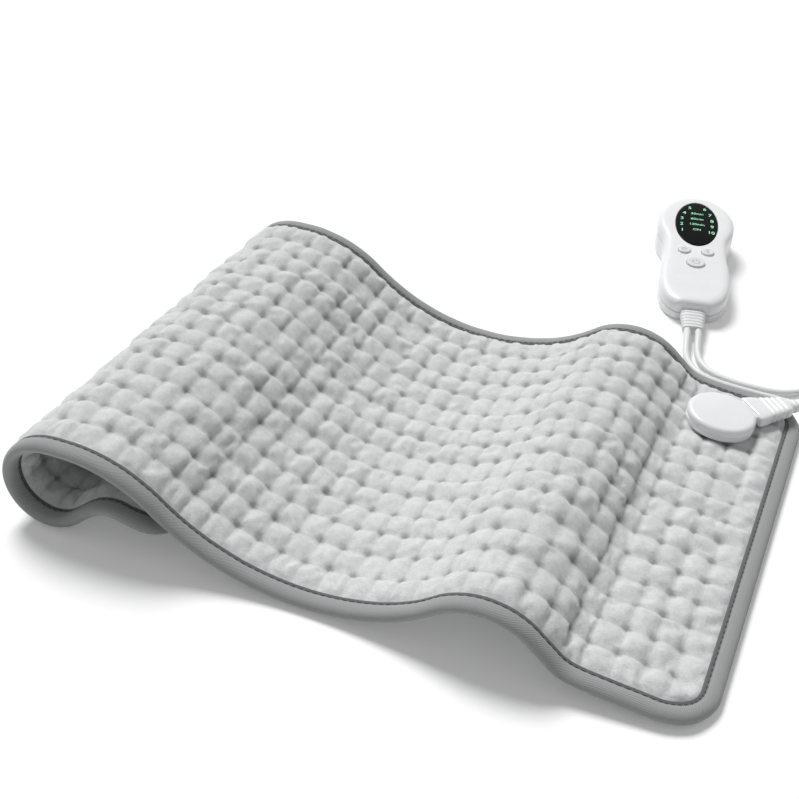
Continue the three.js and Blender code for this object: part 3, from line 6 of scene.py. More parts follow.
import bmesh
import bpy
from mathutils import Matrix, Vector, noise
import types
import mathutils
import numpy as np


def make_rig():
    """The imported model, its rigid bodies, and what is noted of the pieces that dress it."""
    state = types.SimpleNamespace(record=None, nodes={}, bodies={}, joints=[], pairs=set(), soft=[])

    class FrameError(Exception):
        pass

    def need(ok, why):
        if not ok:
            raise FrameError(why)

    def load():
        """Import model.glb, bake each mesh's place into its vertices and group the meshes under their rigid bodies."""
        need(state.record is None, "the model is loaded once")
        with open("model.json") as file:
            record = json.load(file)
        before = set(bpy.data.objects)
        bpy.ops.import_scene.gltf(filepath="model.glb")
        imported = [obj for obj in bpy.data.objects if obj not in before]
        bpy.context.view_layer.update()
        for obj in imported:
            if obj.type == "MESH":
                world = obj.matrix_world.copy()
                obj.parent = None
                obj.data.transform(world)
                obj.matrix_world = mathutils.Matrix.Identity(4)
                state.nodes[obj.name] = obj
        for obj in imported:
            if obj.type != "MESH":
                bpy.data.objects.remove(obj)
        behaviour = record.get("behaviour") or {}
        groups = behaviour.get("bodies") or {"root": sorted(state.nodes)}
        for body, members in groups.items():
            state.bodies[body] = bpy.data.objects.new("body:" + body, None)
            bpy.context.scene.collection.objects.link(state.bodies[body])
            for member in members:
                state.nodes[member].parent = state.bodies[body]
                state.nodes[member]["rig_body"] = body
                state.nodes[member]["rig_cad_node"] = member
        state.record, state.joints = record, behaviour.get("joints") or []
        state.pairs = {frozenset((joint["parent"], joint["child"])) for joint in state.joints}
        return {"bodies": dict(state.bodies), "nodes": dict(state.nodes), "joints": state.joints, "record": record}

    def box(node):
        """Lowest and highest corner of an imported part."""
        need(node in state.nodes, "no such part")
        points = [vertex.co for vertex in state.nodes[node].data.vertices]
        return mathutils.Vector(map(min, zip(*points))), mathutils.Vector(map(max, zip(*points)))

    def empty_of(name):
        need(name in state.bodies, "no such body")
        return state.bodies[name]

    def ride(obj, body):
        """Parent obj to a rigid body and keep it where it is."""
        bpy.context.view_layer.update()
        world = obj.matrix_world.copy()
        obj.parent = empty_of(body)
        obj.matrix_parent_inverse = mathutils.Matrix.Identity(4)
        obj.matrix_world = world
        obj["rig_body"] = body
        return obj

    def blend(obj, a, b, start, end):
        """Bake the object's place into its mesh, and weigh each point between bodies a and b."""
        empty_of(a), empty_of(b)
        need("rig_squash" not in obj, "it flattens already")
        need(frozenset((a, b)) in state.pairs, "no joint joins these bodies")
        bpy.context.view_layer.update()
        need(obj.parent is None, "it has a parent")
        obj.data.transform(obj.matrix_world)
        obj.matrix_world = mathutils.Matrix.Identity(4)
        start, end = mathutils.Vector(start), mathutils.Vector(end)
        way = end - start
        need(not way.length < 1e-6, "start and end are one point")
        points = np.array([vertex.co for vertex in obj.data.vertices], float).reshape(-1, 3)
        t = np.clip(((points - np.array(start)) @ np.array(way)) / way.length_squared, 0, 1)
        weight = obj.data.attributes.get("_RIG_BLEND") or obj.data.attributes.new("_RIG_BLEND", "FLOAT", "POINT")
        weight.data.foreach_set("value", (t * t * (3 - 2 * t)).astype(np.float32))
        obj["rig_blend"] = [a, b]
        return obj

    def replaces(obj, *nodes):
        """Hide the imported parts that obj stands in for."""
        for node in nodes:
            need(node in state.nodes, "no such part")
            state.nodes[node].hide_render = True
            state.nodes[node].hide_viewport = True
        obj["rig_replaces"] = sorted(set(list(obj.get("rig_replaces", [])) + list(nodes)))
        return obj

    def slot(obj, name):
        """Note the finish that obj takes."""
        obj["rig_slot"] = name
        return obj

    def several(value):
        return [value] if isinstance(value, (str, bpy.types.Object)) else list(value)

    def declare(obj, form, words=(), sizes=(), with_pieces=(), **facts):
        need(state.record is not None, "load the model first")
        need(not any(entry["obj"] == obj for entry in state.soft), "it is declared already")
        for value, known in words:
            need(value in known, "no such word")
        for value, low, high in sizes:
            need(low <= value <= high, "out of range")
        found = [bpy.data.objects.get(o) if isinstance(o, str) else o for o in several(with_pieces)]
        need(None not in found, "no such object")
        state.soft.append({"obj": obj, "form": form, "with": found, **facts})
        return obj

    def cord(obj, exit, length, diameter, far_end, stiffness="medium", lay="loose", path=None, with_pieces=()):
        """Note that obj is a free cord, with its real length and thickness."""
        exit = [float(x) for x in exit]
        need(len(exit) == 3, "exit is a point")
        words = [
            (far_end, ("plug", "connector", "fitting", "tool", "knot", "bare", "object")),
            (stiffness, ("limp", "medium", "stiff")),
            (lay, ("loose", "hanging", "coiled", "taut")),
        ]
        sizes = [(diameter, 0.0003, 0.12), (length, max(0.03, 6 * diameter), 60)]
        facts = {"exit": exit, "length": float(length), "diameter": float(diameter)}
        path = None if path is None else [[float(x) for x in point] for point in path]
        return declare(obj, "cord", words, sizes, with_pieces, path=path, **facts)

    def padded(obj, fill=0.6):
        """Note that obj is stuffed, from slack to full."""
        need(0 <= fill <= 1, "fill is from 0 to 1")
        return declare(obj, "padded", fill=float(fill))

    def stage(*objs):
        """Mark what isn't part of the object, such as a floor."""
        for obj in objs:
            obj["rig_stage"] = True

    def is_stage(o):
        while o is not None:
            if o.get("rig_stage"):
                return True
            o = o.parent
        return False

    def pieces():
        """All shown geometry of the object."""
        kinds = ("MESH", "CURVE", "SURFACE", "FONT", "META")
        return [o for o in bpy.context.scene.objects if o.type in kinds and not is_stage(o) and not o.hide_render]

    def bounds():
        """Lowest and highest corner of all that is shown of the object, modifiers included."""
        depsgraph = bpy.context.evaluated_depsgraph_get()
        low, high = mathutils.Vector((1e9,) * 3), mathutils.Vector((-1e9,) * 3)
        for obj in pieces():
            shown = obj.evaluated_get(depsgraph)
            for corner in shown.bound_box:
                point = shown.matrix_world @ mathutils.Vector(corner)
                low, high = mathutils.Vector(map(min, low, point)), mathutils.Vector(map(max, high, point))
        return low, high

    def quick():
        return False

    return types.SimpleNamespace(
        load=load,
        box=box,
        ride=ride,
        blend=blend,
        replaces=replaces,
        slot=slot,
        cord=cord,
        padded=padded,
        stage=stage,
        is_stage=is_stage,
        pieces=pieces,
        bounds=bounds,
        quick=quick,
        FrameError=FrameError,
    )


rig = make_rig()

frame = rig.load()
cad_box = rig.bounds()

MM = 0.001
GAP = 0.3
# Least height of the soft pieces above the floor
FLOOR_FILM = 0.2

# Pad plan and wave, as in the part's source
PAD_LENGTH = 540
PAD_WIDTH = 300
CORNER_RADIUS = 28
SEAM_INSET = 11
CELLS_ACROSS = 15
WAVE = [
    (3, 0), (1, -48.2), (3.5, 92), (2, -22), (7, -54.8),
    (4, 50.8), (4.2, 189), (1, 26), (1.5, -71), (0.8, 0),
]
PLUG_END_SLOPE = 5.8
PLUG_END_X = 31
HALF_ROW_TURN = 27
ROWS = round(sum(rows for rows, _ in WAVE))
ROW_PITCH = (PAD_LENGTH - 2 * SEAM_INSET) / ROWS
COLUMN_PITCH = (PAD_WIDTH - 2 * SEAM_INSET) / CELLS_ACROSS
CUTOUT_ENDS = (52.25, 62.25)
CUTOUT_UNDERSIDE = 1.8

# Quilting, as heights from the pad's middle; its rows are finer than those that the wave counts in
QUILT_ROWS = 37
QUILT_PITCH = (PAD_LENGTH - 2 * SEAM_INSET) / QUILT_ROWS
COVER_INSET = 3.5
MARGIN_HEIGHT, MARGIN_RISE = 1.7, 2.5
SEAM_HALF_WIDTH = 1.5
QUILT_TOP = {"knot": 2.9, "puff": 1.2, "flat": 4.6, "least": 1.6, "seed": 2.0}
QUILT_UNDER = {"knot": 3.2, "puff": 1.3, "flat": 4.3, "least": 2.5, "seed": 7.0}
FULL_PUFF, LEAST_MOVE = 1.6, -0.3
KNOT_RADIUS, KNOT_DEPTH = 1.6, 1.3
# The crease shade is the share of painted shade along the creases, next to that at the knots
CREASE_RADIUS, CREASE_DEPTH, CREASE_SHADE = 1.5, 1.0, 0.2
BROAD_RUCK, BROAD_RUCK_SIZE = 0.16, 5
FINE_RUCK, FINE_RUCK_SIZE, FINE_RUCK_SEED = 0.10, 2.2, 4.0
ROW_LINES, ROW_MARGIN_LINES = 8, 5
COLUMN_LINES, COLUMN_MARGIN_LINES = 10, 4
DISC_PRESS_EDGE, PLUG_PRESS_EDGE = 5, 6

# Cloth that settles the quilting, at ten times life size
SHEET_SCALE = 0.01
QUILT_STEPS = 8
QUILT_FRAMES = 16
FIRST_PUFF = 0.15
FIRST_RUCK, FIRST_RUCK_SCALE, FIRST_RUCK_SEED = 0.12, 2.6, 3.0
COVER_SLACK = 0.045
FILLING = {
    "quality": 4, "mass": 0.2, "air_damping": 5, "tension_stiffness": 20, "compression_stiffness": 20,
    "shear_stiffness": 10, "bending_stiffness": 0.3, "tension_damping": 10, "compression_damping": 10,
    "shear_damping": 10, "bending_damping": 1, "vertex_group_mass": "held", "shrink_min": -COVER_SLACK,
    "shrink_max": -COVER_SLACK, "use_pressure": True, "uniform_pressure_force": 3,
}

# Binding and its stitches, as insets from the pad's edge and heights from its middle
BINDING_SECTION = [
    (11.3, 2.1), (11.2, 2.6), (10.7, 2.95), (9.9, 3.05), (9.2, 2.7), (8.6, 2.75), (7.9, 3.15), (6.2, 3.4),
    (4.2, 3.35), (2.4, 2.95), (1.1, 2.1), (0.3, 1.1), (0, 0),
]
BINDING_INSIDE = [(10.6, -1.9), (6.0, -1.9), (3.2, -1.5), (2.8, 0), (3.2, 1.5), (6.0, 1.9), (10.6, 1.9)]
BINDING_STEP = 2.6
BINDING_SWELL, BINDING_SWELL_SIZE = 0.06, 14
# Painted shade on the binding's inner lip, in the groove against the plush, between these insets
SEAM_SHADE_FROM, SEAM_SHADE_TO = 8.0, 9.4
STITCH_STEP, STITCH_INSET, STITCH_LEVEL = 4.2, 9.0, 2.78
STITCH_REACH, STITCH_WIDTH, STITCH_HEIGHT = 0.44, 0.45, 0.4
STITCH_OFF_FLOOR = 0.6

# Socket and plug
SOCKET_FROM_END = 48
SOCKET_FROM_BACK = 50
SOCKET_DIAMETER = 42
SOCKET_UNDERSIDE = 5.1
SOCKET_TOP = 14.1
SHOULDER_RISE, SHOULDER_ROUND, SHOULDER_DROP = 3.4, 3.2, 0.7
PLUG_LEVEL = 9.1
PLUG_TURN = 45
PLUG_START = SOCKET_DIAMETER / 2 + GAP
PLUG_BODY_LENGTH = 29
PLUG_END = PLUG_START + PLUG_BODY_LENGTH
PLUG_RELIEF_LENGTH = 20
PLUG_WIDTH = 24
PLUG_WAIST = 14
PLUG_HEIGHT = 8
NOSE_WIDTH = 18
NOSE_HEIGHT = 5.4
MOUTH_DEPTH = 12
PIN_SPACING = 9
BORE_RADIUS, BORE_DEPTH = 2.2, 11

# Controller
CASE_LENGTH = 150
HEAD_WIDTH, WAIST_WIDTH, HIP_WIDTH, TAIL_WIDTH = 57, 45, 50, 24
HEAD_FROM_TOP, WAIST_FROM_TOP, HIP_FROM_TOP = 36, 72, 115
QUARTER_ARC = 0.5523
FRONT_DEPTH = 10
REAR_AT_TAIL = 6.5
FACE_TILT = 5
CASE_TAIL = (-60.9, 237.5)
CASE_TURN = 102.2
WINDOW_LENGTH, WINDOW_WIDTH, WINDOW_FROM_TOP = 64, 32, 42
SMALL_BUTTON, SMALL_BUTTON_SPREAD, SMALL_BUTTON_FROM_TOP = 9, 17, 82
POWER_BUTTON, POWER_FROM_TOP = 13, 98
BUTTON_PROUD = 1.2
BUTTON_TOP = FRONT_DEPTH + BUTTON_PROUD
PRINT_HEIGHT = 0.08
PRINT_SUNK = 0.26
SCREW_WELL_RADIUS, SCREW_WELL_DEPTH = 2.9, 3.5
WINDOW_RIM_RISE, WINDOW_DOME = 0.1, 0.6
DIGIT_SIZE, MINUTES_SIZE = 5.6, 3.9
DIGIT_LIFT, DIGIT_THICKNESS = 0.05, 0.06
DIGIT_PLACES = [(0.35, 0.70), (0.60, 0.44), (0.70, 0.175), (0.71, -0.09), (0.67, -0.36)]
MINUTES_LINES = [("30min", 0.44), ("60min", 0.19), ("120min", -0.06), ("ON", -0.30)]
RELIEF_LENGTH, RELIEF_WIDTH, RELIEF_HEIGHT, RELIEF_RIBS = 23, 18, 8.5, 6

# Leads
CORD_DIAMETER = 4.8
CORD_SPACING = 7.5
COIL_STEPS = 16
COIL_CLEARANCE = 0.7
COIL_PITCH = CORD_DIAMETER + COIL_CLEARANCE
FLOOR_CLEARANCE = 0.05
FLOOR_REST = CORD_DIAMETER / 2 + FLOOR_CLEARANCE
SLEEVE_OVER_CORD = 0.5
SLEEVE_END = (CORD_DIAMETER / 2 + SLEEVE_OVER_CORD, CORD_DIAMETER / 2 + SLEEVE_OVER_CORD)
TIE_THICKNESS = 0.8
TIE_WIDTH = 6
TIE_BEND = 3.0
TAB_THICKNESS, TAB_INSET, TAB_OVER_BEND, TAB_ROUND = 0.9, 0.4, 1, 0.3
COIL_REST = FLOOR_REST + TIE_THICKNESS + GAP
PAD_COIL = {"x": 75, "y": 190.4, "inner": 19, "turns": 4.75, "start": -90, "sense": 1}
MAINS_COIL = {"x": 69, "y": 275, "inner": 19, "turns": 7, "start": 180, "sense": -1}
TIE_ANGLES = {"pad_lead_tie": (PAD_COIL, 20), "mains_lead_tie": (MAINS_COIL, -60)}
WALL_PLUG = (52, 296)
WALL_RELIEF_LENGTH = 20
WALL_PLUG_LENGTH, WALL_PLUG_WIDTH, WALL_PLUG_HEIGHT = 25, 22, 17

# Camera at the photograph's viewing angle, in the frame of the routes below
CAMERA_PLACE = (44, -618, 470)
CAMERA_YAW, CAMERA_PITCH, CAMERA_ROLL = -20.45, 33.25, 3.52
CAMERA_LENS = 61.64

# Light: the world's part in lighting the object, the floor's own light that brings it to white, and the
# lamps as where each shines from, its strength and its spread in degrees
AMBIENT = 0.22
FLOOR_LIFT = 0.17
LAMPS = {"key": ((-0.85, 0.75, 1.5), 2.75, 24), "fill": ((0.9, -0.6, 1.3), 0.15, 70)}


# Wave of the pad

def clamp(value, low=0.0, high=1.0):
    return max(low, min(high, value))


def smooth(low, high, value):
    t = clamp((value - low) / (high - low))
    return t * t * (3 - 2 * t)


def heading_at(s):
    heading = 180 - PLUG_END_SLOPE
    left = s - SEAM_INSET
    for rows, turn in WAVE:
        heading += turn * clamp(left / (rows * ROW_PITCH))
        left -= rows * ROW_PITCH
    return heading


def wave_stations():
    lengths = [0, SEAM_INSET]
    for row in range(ROWS):
        start = SEAM_INSET + row * ROW_PITCH
        middle = start + ROW_PITCH / 2
        end = start + ROW_PITCH
        turn = abs(heading_at(middle) - heading_at(start)) + abs(heading_at(end) - heading_at(middle))
        if turn > HALF_ROW_TURN:
            lengths.append(middle)
        lengths.append(end)
    lengths.append(PAD_LENGTH)
    points = [Vector((PLUG_END_X, 0))]
    for a, b in zip(lengths, lengths[1:]):
        heading = math.radians(heading_at((a + b) / 2))
        points.append(points[-1] + (b - a) * Vector((math.cos(heading), math.sin(heading))))
    return lengths, points


STATION_S, STATION_XZ = wave_stations()
FACET_S = [(a + b) / 2 for a, b in zip(STATION_S, STATION_S[1:])]
FACET_XZ = [(a + b) / 2 for a, b in zip(STATION_XZ, STATION_XZ[1:])]


def wave_at(s):
    """Point and upward normal of the pad's middle, on a smooth line that touches each facet at its middle."""
    if s <= FACET_S[0] or s >= FACET_S[-1]:
        i = 0 if s <= FACET_S[0] else len(FACET_S) - 1
        run = (STATION_XZ[i + 1] - STATION_XZ[i]) / (STATION_S[i + 1] - STATION_S[i])
        point = FACET_XZ[i] + run * (s - FACET_S[i])
    else:
        i = next(k for k in range(1, len(FACET_S)) if s <= FACET_S[k])
        t = (s - FACET_S[i - 1]) / (FACET_S[i] - FACET_S[i - 1])
        a, b, c = FACET_XZ[i - 1], STATION_XZ[i], FACET_XZ[i]
        point = (1 - t) ** 2 * a + 2 * t * (1 - t) * b + t * t * c
        run = (1 - t) * (b - a) + t * (c - b)
    run = run.normalized()
    return point, Vector((run.y, -run.x))


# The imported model's binding and thermal cut-out say where the wave lies
binding_low, binding_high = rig.box("edge_binding")
SHIFT_X = binding_high.x / MM - PLUG_END_X
SHIFT_Y = (binding_low.y + binding_high.y) / 2 / MM
PAD_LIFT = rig.box("thermal_cutout")[0].z / MM
PAD_LIFT -= min(wave_at(s)[0].y - CUTOUT_UNDERSIDE * wave_at(s)[1].y for s in CUTOUT_ENDS)
ON_FLOOR = Matrix.Scale(MM, 4) @ Matrix.Translation((SHIFT_X, SHIFT_Y, 0))
IN_PAD = Matrix.Scale(MM, 4) @ Matrix.Translation((SHIFT_X, SHIFT_Y, PAD_LIFT))


def pad_point(s, y, n):
    point, normal = wave_at(s)
    return IN_PAD @ Vector((point.x + n * normal.x, y, point.y + n * normal.y))


def turned(axis, degrees):
    return Matrix.Rotation(math.radians(degrees), 4, axis)


socket_xz = wave_at(SOCKET_FROM_END)[0]
SOCKET_PLACE = Matrix.Translation((socket_xz.x, PAD_WIDTH / 2 - SOCKET_FROM_BACK, socket_xz.y))
IN_PLUG = IN_PAD @ SOCKET_PLACE @ turned("Y", PLUG_END_SLOPE) @ turned("Z", PLUG_TURN)
IN_CASE = ON_FLOOR @ Matrix.Translation((*CASE_TAIL, 0)) @ turned("Z", CASE_TURN)
IN_FACE = IN_CASE @ Matrix.Translation((0, 0, REAR_AT_TAIL)) @ turned("Y", -FACE_TILT)


def new_object(name, data):
    made = bpy.data.objects.new(name, data)
    bpy.context.scene.collection.objects.link(made)
    return made


# Camera

def make_camera():
    yaw, pitch, roll = (math.radians(v) for v in (CAMERA_YAW, CAMERA_PITCH, CAMERA_ROLL))
    ahead = Vector((math.sin(yaw) * math.cos(pitch), math.cos(yaw) * math.cos(pitch), -math.sin(pitch)))
    level = Vector((math.cos(yaw), -math.sin(yaw), 0))
    rise = level.cross(ahead)
    right = level * math.cos(roll) + rise * math.sin(roll)
    up = -level * math.sin(roll) + rise * math.cos(roll)
    data = bpy.data.cameras.new("camera")
    data.lens = CAMERA_LENS
    data.sensor_width = 36
    data.clip_start = 0.01
    camera = new_object("camera", data)
    axes = Matrix((right, up, -ahead)).transposed().to_4x4()
    camera.matrix_world = Matrix.Translation(ON_FLOOR @ Vector(CAMERA_PLACE)) @ axes
    bpy.context.scene.camera = camera


make_camera()


# Node helpers and the effects that several finishes share

def new_group(name, inputs, outputs):
    tree = bpy.data.node_groups.new(name, "ShaderNodeTree")
    for label, kind, value in inputs:
        socket = tree.interface.new_socket(label, in_out="INPUT", socket_type=kind)
        if value is not None:
            socket.default_value = value
    for label, kind in outputs:
        tree.interface.new_socket(label, in_out="OUTPUT", socket_type=kind)
    return tree, tree.nodes.new("NodeGroupInput"), tree.nodes.new("NodeGroupOutput")


def node(tree, kind, **settings):
    made = tree.nodes.new(kind)
    for key, value in settings.items():
        if isinstance(value, bpy.types.NodeSocket):
            tree.links.new(value, made.inputs[key.replace("_", " ")])
        elif key.replace("_", " ") in made.inputs:
            made.inputs[key.replace("_", " ")].default_value = value
        else:
            setattr(made, key, value)
    return made


def math_node(tree, operation, first, second):
    made = tree.nodes.new("ShaderNodeMath")
    made.operation = operation
    for socket, value in zip(made.inputs, (first, second)):
        if isinstance(value, bpy.types.NodeSocket):
            tree.links.new(value, socket)
        else:
            socket.default_value = value
    return made.outputs[0]


def speckle_group():
    """Broad tone and fine grain on Object coordinates, for moulded and metal surfaces."""
    tree, given, out = new_group(
        "speckle",
        [("Tone Scale", "NodeSocketFloat", 40.0), ("Grain Scale", "NodeSocketFloat", 900.0)],
        [("Tone", "NodeSocketFloat"), ("Grain", "NodeSocketFloat")],
    )
    place = node(tree, "ShaderNodeTexCoord").outputs["Object"]
    tone = node(tree, "ShaderNodeTexNoise", Vector=place, Scale=given.outputs["Tone Scale"], Detail=4.0)
    grain = node(tree, "ShaderNodeTexNoise", Vector=place, Scale=given.outputs["Grain Scale"], Detail=2.0)
    tree.links.new(tone.outputs["Fac"], out.inputs["Tone"])
    tree.links.new(grain.outputs["Fac"], out.inputs["Grain"])
    return tree


def nap_group():
    """Short pile: soft brushed patches over fine fibre ends."""
    tree, given, out = new_group(
        "nap",
        [("Pile Scale", "NodeSocketFloat", 900.0), ("Patch Scale", "NodeSocketFloat", 120.0)],
        [("Tone", "NodeSocketFloat"), ("Height", "NodeSocketFloat")],
    )
    place = node(tree, "ShaderNodeTexCoord").outputs["Object"]
    patch = node(tree, "ShaderNodeTexNoise", Vector=place, Scale=given.outputs["Patch Scale"], Detail=5.0,
                 Roughness=0.65)
    pile = node(tree, "ShaderNodeTexNoise", Vector=place, Scale=given.outputs["Pile Scale"], Detail=3.0,
                Roughness=0.7, Distortion=0.6)
    mixed = math_node(tree, "MULTIPLY", patch.outputs["Fac"], 0.6)
    fine = math_node(tree, "MULTIPLY", pile.outputs["Fac"], 0.4)
    tree.links.new(math_node(tree, "ADD", mixed, fine), out.inputs["Tone"])
    tree.links.new(pile.outputs["Fac"], out.inputs["Height"])
    return tree


def twill_group():
    """Diagonal ribs of a woven tape along the piece's own UV map."""
    tree, given, out = new_group(
        "twill",
        [("Rib Scale", "NodeSocketFloat", 500.0)],
        [("Tone", "NodeSocketFloat"), ("Height", "NodeSocketFloat")],
    )
    laid = node(tree, "ShaderNodeUVMap", uv_map="surface").outputs["UV"]
    slanted = node(tree, "ShaderNodeMapping", Vector=laid, Rotation=(0, 0, math.radians(52)))
    rib = node(tree, "ShaderNodeTexWave", Vector=slanted.outputs["Vector"], Scale=given.outputs["Rib Scale"],
               Distortion=0.8, Detail=2.0)
    crossed = node(tree, "ShaderNodeTexNoise", Vector=laid, Scale=900.0, Detail=3.0)
    height = math_node(tree, "ADD", math_node(tree, "MULTIPLY", rib.outputs["Fac"], 0.7),
                       math_node(tree, "MULTIPLY", crossed.outputs["Fac"], 0.3))
    tree.links.new(height, out.inputs["Height"])
    tree.links.new(height, out.inputs["Tone"])
    return tree


SPECKLE = speckle_group()
NAP = nap_group()
TWILL = twill_group()


def finish(name, dark, light, effect, scales, rough, bump, depth, **sockets):
    """A finish whose colour and roughness run between two values over an effect, with its relief as bump."""
    material = bpy.data.materials.new(name)
    material.use_nodes = True
    tree = material.node_tree
    shader = tree.nodes["Principled BSDF"]
    spread = node(tree, "ShaderNodeGroup", node_tree=effect)
    for label, value in scales.items():
        spread.inputs[label].default_value = value
    ramp = node(tree, "ShaderNodeValToRGB", Fac=spread.outputs["Tone"])
    ramp.color_ramp.elements[0].position = 0.3
    ramp.color_ramp.elements[0].color = (*dark, 1)
    ramp.color_ramp.elements[1].position = 0.7
    ramp.color_ramp.elements[1].color = (*light, 1)
    tree.links.new(ramp.outputs["Color"], shader.inputs["Base Color"])
    sheen = node(tree, "ShaderNodeMapRange", Value=spread.outputs["Tone"])
    sheen.inputs["To Min"].default_value = rough[0]
    sheen.inputs["To Max"].default_value = rough[1]
    tree.links.new(sheen.outputs["Result"], shader.inputs["Roughness"])
    relief = node(tree, "ShaderNodeBump", Strength=bump, Distance=depth)
    tree.links.new(spread.outputs[-1], relief.inputs["Height"])
    tree.links.new(relief.outputs["Normal"], shader.inputs["Normal"])
    for label, value in sockets.items():
        shader.inputs[label.replace("_", " ")].default_value = value
    return material


def moulded(name, dark, light, rough, **sockets):
    scales = {"Tone Scale": 60.0, "Grain Scale": 1400.0}
    return finish(name, dark, light, SPECKLE, scales, rough, 0.08, 0.00005, **sockets)


def paint_shade(material, attribute, colour):
    """Paints shade into a finish's colour, multiplying it where a vertex attribute says so."""
    tree = material.node_tree
    base = tree.nodes["Principled BSDF"].inputs["Base Color"]
    shown = base.links[0].from_socket
    amount = node(tree, "ShaderNodeAttribute", attribute_name=attribute).outputs["Fac"]
    mix = node(tree, "ShaderNodeMixRGB", blend_type="MULTIPLY", Fac=amount, Color1=shown, Color2=colour)
    tree.links.new(mix.outputs["Color"], base)


def plush_finish():
    material = finish("plush", (0.64, 0.655, 0.655), (0.89, 0.905, 0.90), NAP,
                      {"Pile Scale": 1000.0, "Patch Scale": 260.0}, (0.85, 1.0), 0.8, 0.0008,
                      Sheen_Weight=0.2, Sheen_Roughness=0.5)
    # Painted shade: the plush is darkened at its knots and creases, where shade falls
    paint_shade(material, "painted_quilt_shade", (0.34, 0.35, 0.35, 1))
    return material


def tape_finish():
    material = finish("binding_tape", (0.27, 0.282, 0.28), (0.41, 0.425, 0.42), TWILL, {"Rib Scale": 420.0},
                      (0.75, 0.95), 0.6, 0.0003, Sheen_Weight=0.2, Sheen_Roughness=0.5)
    # Painted shade: the tape is darkened along its inner lip, in the groove against the plush
    paint_shade(material, "painted_seam_shade", (0.36, 0.37, 0.38, 1))
    return material


PLUSH = plush_finish()
TAPE = tape_finish()
# The seam stitches are real, but drawn near black so that they also give the painted shade line along the seam groove
THREAD_AND_SEAM_SHADE = finish("seam_thread_and_shade", (0.05, 0.052, 0.055), (0.10, 0.102, 0.105), SPECKLE,
                {"Tone Scale": 900.0, "Grain Scale": 3000.0}, (0.6, 0.8), 0.4, 0.0001)
FELT = finish("felt", (0.72, 0.70, 0.66), (0.84, 0.82, 0.78), NAP, {}, (0.9, 1.0), 0.5, 0.0004)
WHITE = moulded("white_moulding", (0.86, 0.865, 0.875), (0.90, 0.905, 0.915), (0.26, 0.36), Coat_Weight=0.15)
WHITE_SOFT = moulded("soft_white_moulding", (0.82, 0.825, 0.83), (0.87, 0.875, 0.88), (0.42, 0.55))
BUTTON = moulded("button_moulding", (0.74, 0.745, 0.755), (0.80, 0.805, 0.815), (0.38, 0.5))
SHEATH = moulded("cord_sheath", (0.78, 0.785, 0.785), (0.84, 0.845, 0.845), (0.38, 0.52))
SMOKED = moulded("smoked_window", (0.002, 0.003, 0.003), (0.004, 0.006, 0.006), (0.10, 0.14),
                 Specular_IOR_Level=0.03)
BLACK = moulded("black_moulding", (0.014, 0.014, 0.015), (0.03, 0.03, 0.032), (0.45, 0.6))
GREY = moulded("grey_moulding", (0.24, 0.25, 0.26), (0.32, 0.33, 0.34), (0.45, 0.6))
PRINT = moulded("grey_print", (0.34, 0.35, 0.37), (0.42, 0.43, 0.45), (0.5, 0.6))
BOARD = finish("board_laminate", (0.02, 0.10, 0.05), (0.04, 0.17, 0.09), SPECKLE,
               {"Tone Scale": 260.0, "Grain Scale": 2200.0}, (0.4, 0.6), 0.2, 0.0001)
STEEL = finish("bright_steel", (0.50, 0.51, 0.52), (0.62, 0.63, 0.64), SPECKLE,
               {"Tone Scale": 300.0, "Grain Scale": 2500.0}, (0.2, 0.34), 0.1, 0.00003, Metallic=1.0)
BRASS = finish("bright_brass", (0.50, 0.36, 0.13), (0.64, 0.48, 0.20), SPECKLE,
               {"Tone Scale": 300.0, "Grain Scale": 2500.0}, (0.2, 0.34), 0.1, 0.00003, Metallic=1.0)
STRAP = finish("hook_strap", (0.012, 0.012, 0.013), (0.03, 0.03, 0.032), NAP,
               {"Pile Scale": 2600.0, "Patch Scale": 400.0}, (0.8, 0.95), 0.6, 0.0004)


def lit_finish():
    material = moulded("lit_digits", (0.20, 0.62, 0.36), (0.26, 0.72, 0.44), (0.4, 0.5))
    shader = material.node_tree.nodes["Principled BSDF"]
    shader.inputs["Emission Color"].default_value = (0.36, 0.86, 0.52, 1)
    shader.inputs["Emission Strength"].default_value = 0.55
    return material


LIT = lit_finish()


# Making pieces

def new_piece(name, bm, material, body="root", slot=None, shade_smooth=True):
    mesh = bpy.data.meshes.new(name)
    for face in bm.faces:
        face.smooth = shade_smooth
    bm.to_mesh(mesh)
    bm.free()
    mesh.materials.append(material)
    piece = new_object(name, mesh)
    if body:
        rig.ride(piece, body)
    if slot:
        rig.slot(piece, slot)
    return piece


def white_piece(name, bm, material=WHITE, body="root"):
    return new_piece(name, bm, material, body=body, slot="white_plastic")


def laid_grid(bm, across, along, place, size=(1, 1)):
    """A grid whose points are moved to place(u, v), with its UV map in metres and shared edges merged."""
    sheet = bm.loops.layers.uv.get("surface") or bm.loops.layers.uv.new("surface")
    made = bmesh.ops.create_grid(bm, x_segments=across, y_segments=along, size=1)["verts"]
    spots = {vert: ((vert.co.x + 1) / 2, (vert.co.y + 1) / 2) for vert in made}
    for face in {face for vert in made for face in vert.link_faces}:
        for loop in face.loops:
            u, v = spots[loop.vert]
            loop[sheet].uv = (u * size[0], v * size[1])
    for vert, (u, v) in spots.items():
        vert.co = place(u, v)
    bmesh.ops.remove_doubles(bm, verts=made, dist=1e-7)
    return spots


def close_ends(bm):
    bmesh.ops.holes_fill(bm, edges=[edge for edge in bm.edges if edge.is_boundary], sides=0)
    bmesh.ops.recalc_face_normals(bm, faces=bm.faces)


def round_ring(ring, share):
    """The member of a closed ring that lies at a share of the way round it."""
    return ring[round(share * len(ring)) % len(ring)]


def lofted(rings, place):
    """A closed body through rings of points, one after the other."""
    bm = bmesh.new()

    def spot(u, v):
        return place @ round_ring(rings[round(u * (len(rings) - 1))], v)

    laid_grid(bm, len(rings) - 1, len(rings[0]), spot)
    close_ends(bm)
    return bm


